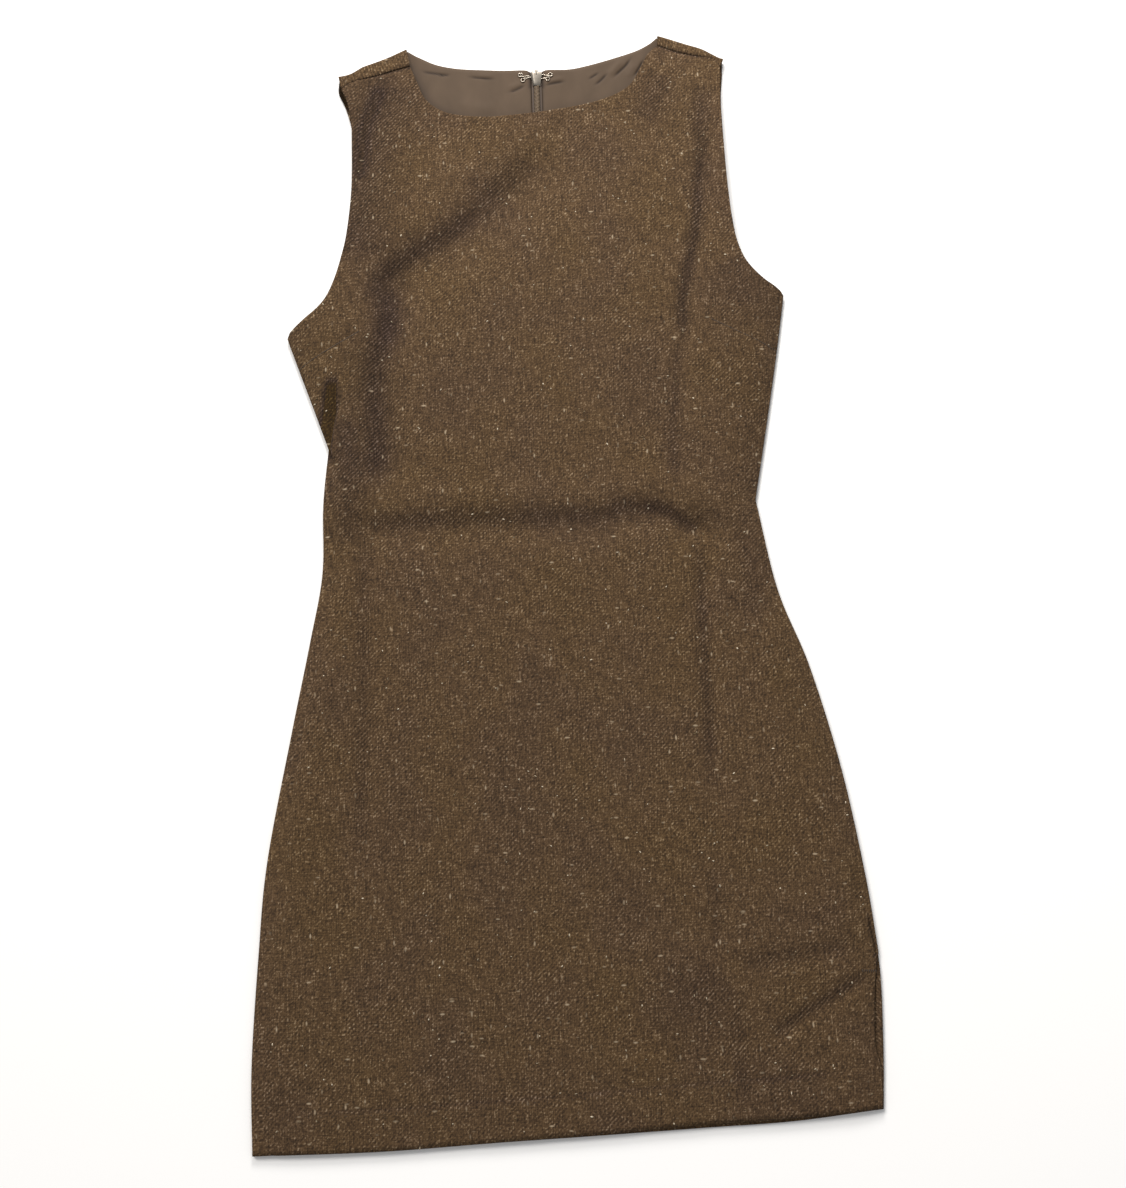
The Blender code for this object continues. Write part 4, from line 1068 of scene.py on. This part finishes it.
# Each kind of stitch: its pitch, half its length, width and height, and its turn
TACK = (1.6, (1.2, 0.42, 0.32), math.pi / 2)
PRICK = (9.0, (0.6, 0.3, 0.2), 0.3)
DART_STITCH = (1.9, (1.3, 0.3, 0.16), 0.0)
LOOP_STITCH = (2.3, (0.8, 0.25, 0.42), math.pi / 2)
BAR_TACK = [(217.4, -331.8), (227.4, -332.4)]
PRICKS_FROM, PRICKS_TO = -222, 219

# Spun polyester thread, 0.3 mm thick, drawn at 0.4 mm to show: a faint gloss along the strand.
thread, tree, shader = new_finish("spun polyester thread", 0.6, Sheen_Weight=0.1)
strand = add_node(tree, "ShaderNodeTexWave", {
    "Vector": object_place(tree), "Scale": 900.0, "Distortion": 1.0}, bands_direction="DIAGONAL")
give_look(tree, shader, mix(tree, strand.outputs["Fac"], "1F160E", "3A2B1D"))


def spaced(tree, sizes):
    """Points along the base, at the pitch."""
    line = add_node(tree, "GeometryNodeMeshToCurve", {0: sizes["Base"]})
    return add_node(tree, "GeometryNodeResampleCurve", {
        "Curve": line.outputs[0], "Length": sizes["Pitch"]}, mode="LENGTH").outputs[0]


stitch_maker, sizes = new_maker("stitches along a seam", Pitch="Float", Size="Vector", Turn="Float")
lined_up = add_node(stitch_maker, "FunctionNodeAlignRotationToVector", {
    "Vector": add_node(stitch_maker, "GeometryNodeInputTangent").outputs[0]}, axis="X",
    pivot_axis="Z")
copied(stitch_maker, sizes, spaced(stitch_maker, sizes), knot(stitch_maker), Scale=sizes["Size"],
       Rotation=turned_by(stitch_maker, lined_up.outputs[0], sizes["Turn"]))


def stitched(name, stitch, points, edges=None):
    """Stitches of one kind along the points."""
    pitch, size, turn = stitch
    made = made_by(stitch_maker, name, points, edges, Pitch=pitch * MM, Size=Vector(size) * MM,
                   Turn=turn, Finish=thread)
    return made


def on_front(points, above):
    """x, y points set on the front's upper face, and a little above it."""
    line = np.array(points, float)
    z = front_height(line[:, 0], line[:, 1])[0] + SHELL_WALL / 2 + above
    return np.column_stack([line, z])


tack = on_front(at(np.array(BAR_TACK), np.linspace(0, 1, 5)), 0.05)
prick_line = hem - (HEM_DEPTH - 1.5) * to_right(hem)
prick_line = prick_line[(prick_line[:, 0] > PRICKS_FROM) & (prick_line[:, 0] < PRICKS_TO)]
stitches = [stitched("slit_bar_tack", TACK, tack),
            stitched("hem_pricks", PRICK, on_front(prick_line, -0.12))]
for side, dart in zip(("left", "right"), DARTS):
    line = on_front(at(np.array(dart), np.linspace(0.03, 0.9, 24)), 0.1)
    stitches.append(stitched(f"dart_{side}_seam", DART_STITCH, line))


# ---- Zip ----
# An invisible zip down the middle of the back: two knitted polyester tapes that run in under the
# lining, each with a nylon coil sewn to its edge. The loops of the two coils mesh.

ZIP_BOTTOM = -70.0
ZIP_TOP = 409.9
# Across each tape: distance from the middle, height, and the shade painted in its grooves
TAPE_PROFILE = [
    (0.35, 2.25, 0), (1.2, 2.3, 0), (2.0, 2.22, 0.5), (2.45, 2.1, 1), (2.9, 2.0, 0.5), (3.4, 1.86, 0),
    (3.8, 1.72, 0.1), (4.4, 1.62, 1), (5.0, 1.56, 1), (8.5, 1.52, 0), (12.6, 1.52, 0)]
TAPE_WALL = 0.4
COIL_PITCH = 1.25
COIL_WIRE = 0.42
COIL_MIDDLE = 0.85
COIL_SPAN = 2.5
COIL_RISE = 0.85
COIL_Z = 2.45
COIL_TOP = 406.5

# Knitted polyester tape, dyed to the lining: fine ribs across, drawn at 0.8 mm, no gloss.
tape_cloth, tree, shader = new_finish("knitted polyester zip tape", 0.8, Sheen_Weight=0.05)
tape_ribs = ribs(tree, stretched(tree, woven_place(tree), 0.8, 0.8, 90), 0.4)
# The grooves' painted shade darkens the tape.
tape_tone = mix(tree, light_and_shade_paint_at(tree), mix(tree, tape_ribs, "4A3C31", "57483C"), "7A6A5C", "MULTIPLY")
give_look(tree, shader, tape_tone, tape_ribs, 0.2, 0.1)

# Nylon coil, dyed to the lining: smooth monofilament with a soft gloss.
coil_nylon, tree, shader = new_finish("dyed nylon monofilament", 0.5, Specular_IOR_Level=0.35)
give_look(tree, shader, mix(tree, clouds(tree, object_place(tree), 300.0), "75634F", "83715D"))

coil_maker, sizes = new_maker("coil of a zip", Pitch="Float", Half_span="Float", Rise="Float",
                              Wire="Float")
half_turn = add_node(coil_maker, "GeometryNodeCurveArc", {
    "Resolution": 7, "Radius": 1.0, "Start Angle": 0.0, "Sweep Angle": math.pi})
oval = add_node(coil_maker, "ShaderNodeCombineXYZ", {
    "X": sizes["Half span"], "Y": sizes["Rise"], "Z": 1.0})
upright = add_node(coil_maker, "GeometryNodeTransform", {
    "Geometry": half_turn.outputs[0], "Scale": oval.outputs[0], "Rotation": (math.pi / 2, 0, 0)})
wire_ring = add_node(coil_maker, "GeometryNodeCurvePrimitiveCircle", {
    "Resolution": 6, "Radius": sizes["Wire"]})
wired = add_node(coil_maker, "GeometryNodeCurveToMesh", {
    "Curve": upright.outputs[0], "Profile Curve": wire_ring.outputs[0], "Fill Caps": True})
copied(coil_maker, sizes, spaced(coil_maker, sizes), wired.outputs[0])

levels = np.concatenate([np.linspace(ZIP_BOTTOM, 330, 60), np.linspace(331, ZIP_TOP, 70)])
for side, name in ((-1, "right"), (1, "left")):
    tape_grid = np.array([[(middle + side * a, level, h, side * a, level, groove_shade)
                           for a, h, groove_shade in TAPE_PROFILE]
                          for level, middle in zip(levels, centre_x(levels))])
    tape_grid[..., 2] += neck_lift(tape_grid[..., 0], tape_grid[..., 1])
    tape = add_cloth(f"zip_{name}_tape", [tape_grid], TAPE_WALL, tape_cloth)
    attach(tape, "garment")
    # The two coils are half a pitch apart, so their loops mesh.
    path = np.column_stack([centre_x(levels) + side * COIL_MIDDLE, levels + 0.25 * side * COIL_PITCH,
                            COIL_Z + neck_lift(0.0, levels)])
    coil = made_by(coil_maker, f"zip_{name}_coil", path[path[:, 1] < COIL_TOP],
                   Pitch=COIL_PITCH * MM, Half_span=COIL_SPAN / 2 * MM, Rise=COIL_RISE * MM,
                   Wire=COIL_WIRE * MM, Finish=coil_nylon)
    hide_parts(f"zip_{name}")


# ---- Zip slider ----
# Zinc casting, nickel plated and tumbled to a satin: a shield that tapers down over the coils,
# with a ridge along it, and a bail over the neck that carries the pull tab.

# Half the shield's width at each height y
SHIELD_HALF = [
    (404.3, 3.1), (406.5, 3.35), (409, 3.75), (412, 4.3), (414.5, 4.7), (416.2, 4.7), (417.1, 4.2)]
SHIELD_TOP = 6.9
SHIELD_WALL = 0.9
SHIELD_SLOPE = 0.075
SHIELD_DROP = 1.3
# The ridge's share of the way across, and how its two flanks fall away
SHIELD_CREST, LEFT_BEND, RIGHT_BEND = -0.6, 1.1, 1.3
SHIELD_STEPS = 25
# Both ends round down over a short way, and its underside is a little narrower.
LOW_END_DROP, HIGH_END_DROP, END_WAY = 0.5, 0.6, 0.8
UNDER_SHARE = 0.93
BAIL_WIDTH = 0.9
PIN_AT = (0.0, 420.6, 1.5)
POST_RADIUS = 1.3

# Nickel plate over tumbled zinc: bright on the corners, with a fine uneven satin.
nickel, tree, shader = new_finish("satin nickel plate", 0.34, Metallic=1.0)
place = object_place(tree)
tumbled = clouds(tree, place, 1400.0, Detail=3.0)
give_look(tree, shader, mix(tree, clouds(tree, place, 260.0), "7B746B", "A0998E"), tumbled,
          0.15, 0.1, ranged(tree, tumbled, 0.0, 1.0, 0.3, 0.5))


def arc(centre, radius, start, end, count):
    """Points of an arc in a plane, angles in degrees."""
    angles = np.radians(np.linspace(start, end, count))
    return [(centre[0] + radius * math.cos(a), centre[1] + radius * math.sin(a)) for a in angles]


def vertices(bm, points):
    """The points, in millimetres, as vertices of the bmesh."""
    return [bm.verts.new(Vector(p) * MM) for p in points]


def skin(bm, rows, closed=False):
    """Faces between rows of vertices, each row a ring where they are closed."""
    if closed:
        rows = [row + row[:1] for row in rows]
    for low, high in zip(rows, rows[1:]):
        for corners in zip(low, low[1:], high[1:], high):
            bm.faces.new(corners)


def slab(bm, outline, low, high, place, bevel):
    """Adds a flat outline with a width to the bmesh, with rounded edges. place gives a point
    from the outline's two numbers and the third."""
    rings = [vertices(bm, (place(a, b, level) for a, b in outline)) for level in (low, high)]
    caps = [bm.faces.new(ring) for ring in rings]
    skin(bm, rings, closed=True)
    bmesh.ops.bevel(bm, geom=[e for cap in caps for e in cap.edges], offset=bevel * MM,
                    segments=2, profile=0.5, affect="EDGES")


def upended(a, b, w):
    """A point of an outline in the Y-Z plane, at w across."""
    return w, a, b


bm = bmesh.new()
shield = []
bottom_end, top_end = SHIELD_HALF[0][0], SHIELD_HALF[-1][0]
for level in np.linspace(bottom_end, top_end, SHIELD_STEPS):
    half_width = np.interp(level, *np.array(SHIELD_HALF).T)
    ends = (LOW_END_DROP * math.exp(-(level - bottom_end) / END_WAY)
            + HIGH_END_DROP * math.exp(-(top_end - level) / END_WAY)
            + SHIELD_SLOPE * (top_end - level))
    row = []
    for t in np.linspace(-1, 1, SHIELD_STEPS):
        if t < SHIELD_CREST:
            fall = ((SHIELD_CREST - t) / (1 + SHIELD_CREST)) ** LEFT_BEND
        else:
            fall = ((t - SHIELD_CREST) / (1 - SHIELD_CREST)) ** RIGHT_BEND
        row.append((t * half_width, level, SHIELD_TOP - SHIELD_DROP * fall - ends))
    shield.append(row)
under = [[(x * UNDER_SHARE, y, z - SHIELD_WALL) for x, y, z in row] for row in shield]
layers = [[vertices(bm, row) for row in layer] for layer in (shield, under)]
for layer in layers:
    skin(bm, layer)
skin(bm, [layer[0] + [row[-1] for row in layer[1:]] + layer[-1][-2::-1]
          + [row[0] for row in layer[-2:0:-1]] for layer in layers], closed=True)

bail = [(413.6, 6.2), (415.6, 7.15), (418.6, 7.1), (420.9, 6.1)]
bail += arc(PIN_AT[1:], POST_RADIUS, 30, -210, 17)
bail += [(419.3, 4.6), (417.2, 5.6), (413.6, 5.6)]
slab(bm, bail, -BAIL_WIDTH / 2, BAIL_WIDTH / 2, upended, 0.12)
slider = finished("zip_slider_cast", bm, nickel, sharp=40)
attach(slider, "garment")
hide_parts("zip_slider")


# ---- Pull tab ----
# Zinc casting with the same plate: a drop-shaped tab that hangs outside the back on a pin
# through the slider's bail. It is the only piece that swings.

PIN_RADIUS = 0.45
CHEEK_FROM = 0.75
CHEEK_TO = 1.25
CHEEK_RADIUS = 1.2
TAB_Z = (0.05, 0.95)
TAB_ROOT = 418.6
TAB_END = 397.5
TAB_ROOT_WIDTH = 2.5
TAB_WIDTH = 4.8
INSET = 0.06

bm = bmesh.new()
root, wide = TAB_ROOT_WIDTH / 2, TAB_WIDTH / 2
drop = [(root, TAB_ROOT), (root + 0.1, TAB_ROOT - 3), (root + 0.35, TAB_ROOT - 7),
        (root + 0.9, TAB_ROOT - 12)]
flank = [(-x, y) for x, y in drop[::-1]]
drop = drop + arc((0, TAB_END + wide), wide, 0, -180, 25) + flank
slab(bm, drop, *TAB_Z, lambda a, b, h: (a, b, h), 0.2)
cheek = [(TAB_ROOT - 0.6, TAB_Z[1] - INSET), (TAB_ROOT - 0.6, TAB_Z[0] + INSET),
         (PIN_AT[1], TAB_Z[0] + INSET), *arc(PIN_AT[1:], CHEEK_RADIUS, -80, 150, 17),
         (PIN_AT[1] - CHEEK_RADIUS - 0.5, TAB_Z[1] - INSET)]
for side in (-1, 1):
    slab(bm, cheek, side * CHEEK_FROM, side * CHEEK_TO, upended, 0.1)
slab(bm, arc(PIN_AT[1:], PIN_RADIUS, 0, 345, 24), INSET - CHEEK_TO, CHEEK_TO - INSET, upended,
     INSET)
pull = finished("zip_pull_cast", bm, nickel, sharp=40)
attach(pull, "pull")
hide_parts("zip_pull")


# ---- Hook and eye ----
# Two bent wires, nickel plated and dull, sewn down over their rings above the slider. The hook's
# bill holds the eye's loop.

WIRE = 0.6
RING_RADIUS = 1.6
HOOK_RINGS = [(-13.4, 415.2), (-11.4, 410.2)]
EYE_RINGS = [(12.0, 414.6), (9.6, 410.6)]
LOCK_Y = 412.9
HOOK_HALF, EYE_HALF = 0.5, 1.8
HOOK_LOW_Z, LOCK_Z, HOOK_HIGH_Z = 3.5, 4.15, 4.8
WIRE_SIDES = 12

# Nickel-plated brass wire, drawn: fine lines run along it, a little dull.
wire_plate, tree, shader = new_finish("nickel-plated brass wire", 0.3, Metallic=1.0)
drawn = clouds(tree, object_place(tree), 1800.0)
give_look(tree, shader, mix(tree, drawn, "A79C8C", "CFC6B8"),
          roughness=ranged(tree, drawn, 0.0, 1.0, 0.22, 0.4))


def tube(bm, path, radius):
    """Adds a round wire along a path in millimetres to the bmesh, with domed ends."""
    way = np.gradient(path, axis=0)
    way /= np.linalg.norm(way, axis=1)[:, None]
    side = np.cross(way[0], (0, 0, 1.0))
    last = len(path) - 1
    rings = []
    for k, ahead, share in [(0, -0.9, 0.35), (0, -0.6, 0.75), *((k, 0, 1) for k in range(last + 1)),
                            (last, 0.6, 0.75), (last, 0.9, 0.35)]:
        side = side - way[k] * side.dot(way[k])
        side /= np.linalg.norm(side)
        up = np.cross(way[k], side)
        middle = path[k] + way[k] * ahead * radius
        rings.append(vertices(bm, (middle + share * radius * (side * math.cos(a) + up * math.sin(a))
                                   for a in np.linspace(0, 2 * math.pi, WIRE_SIDES, endpoint=False))))
    skin(bm, rings, closed=True)
    bm.faces.new(rings[0])
    bm.faces.new(rings[-1])


def ring_z(rings):
    """Middle of the wire where the sewing rings lie on the lining."""
    x, y = np.array(rings).T
    return float((LINING_Z + neck_lift(x, y)).max()) + LINING_WALL / 2 + WIRE / 2 + SEAM_GAP


def sewing_ring(centre, start, turn, z):
    """Most of a ring, from an angle in degrees and one way round."""
    return [(x, y, z) for x, y in arc(centre, RING_RADIUS, start, start + turn * 320, 15)]


(top, low), z = HOOK_RINGS, ring_z(HOOK_RINGS)
out = [(-8, LOCK_Y + 1.0, z), (-4.8, LOCK_Y + 0.6, z - 0.1)]
out += [(x, LOCK_Y + HOOK_HALF, h) for x, h in (
    (-3.2, HOOK_LOW_Z), (1.0, HOOK_LOW_Z), (1.6, LOCK_Z), (1.0, HOOK_HIGH_Z), (-1.8, HOOK_HIGH_Z))]
back = [(x, 2 * LOCK_Y - y, h) for x, y, h in out[::-1]]
hook_path = sewing_ring(top, -410, 1, z) + out + back + sewing_ring(low, 90, 1, z)
(top, low), z = EYE_RINGS, ring_z(EYE_RINGS)
eye_path = [*sewing_ring(top, 230, -1, z), (5.2, LOCK_Y + EYE_HALF, z), (3.4, LOCK_Y + EYE_HALF, LOCK_Z),
            *((x, y, LOCK_Z) for x, y in arc((0.4, LOCK_Y), 1.9, 60, 300, 11)),
            (3.4, LOCK_Y - EYE_HALF, LOCK_Z), (5.2, LOCK_Y - EYE_HALF, z),
            *sewing_ring(low, 90, -1, z)]
for node, path, rings in (("hook", hook_path, HOOK_RINGS), ("eye", eye_path, EYE_RINGS)):
    bm = bmesh.new()
    tube(bm, spline(path, 3), WIRE / 2)
    wire = finished(node + "_wire", bm, wire_plate, sharp=60)
    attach(wire, "garment")
    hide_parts(node)
    points = [(x, y, ring_z(rings)) for centre in rings
              for x, y in arc(centre, RING_RADIUS, 0, 360, 25)]
    edges = [(k, k + 1) for k in range(len(points) - 1) if k != 24]
    stitched(node + "_thread", LOOP_STITCH, points, edges)
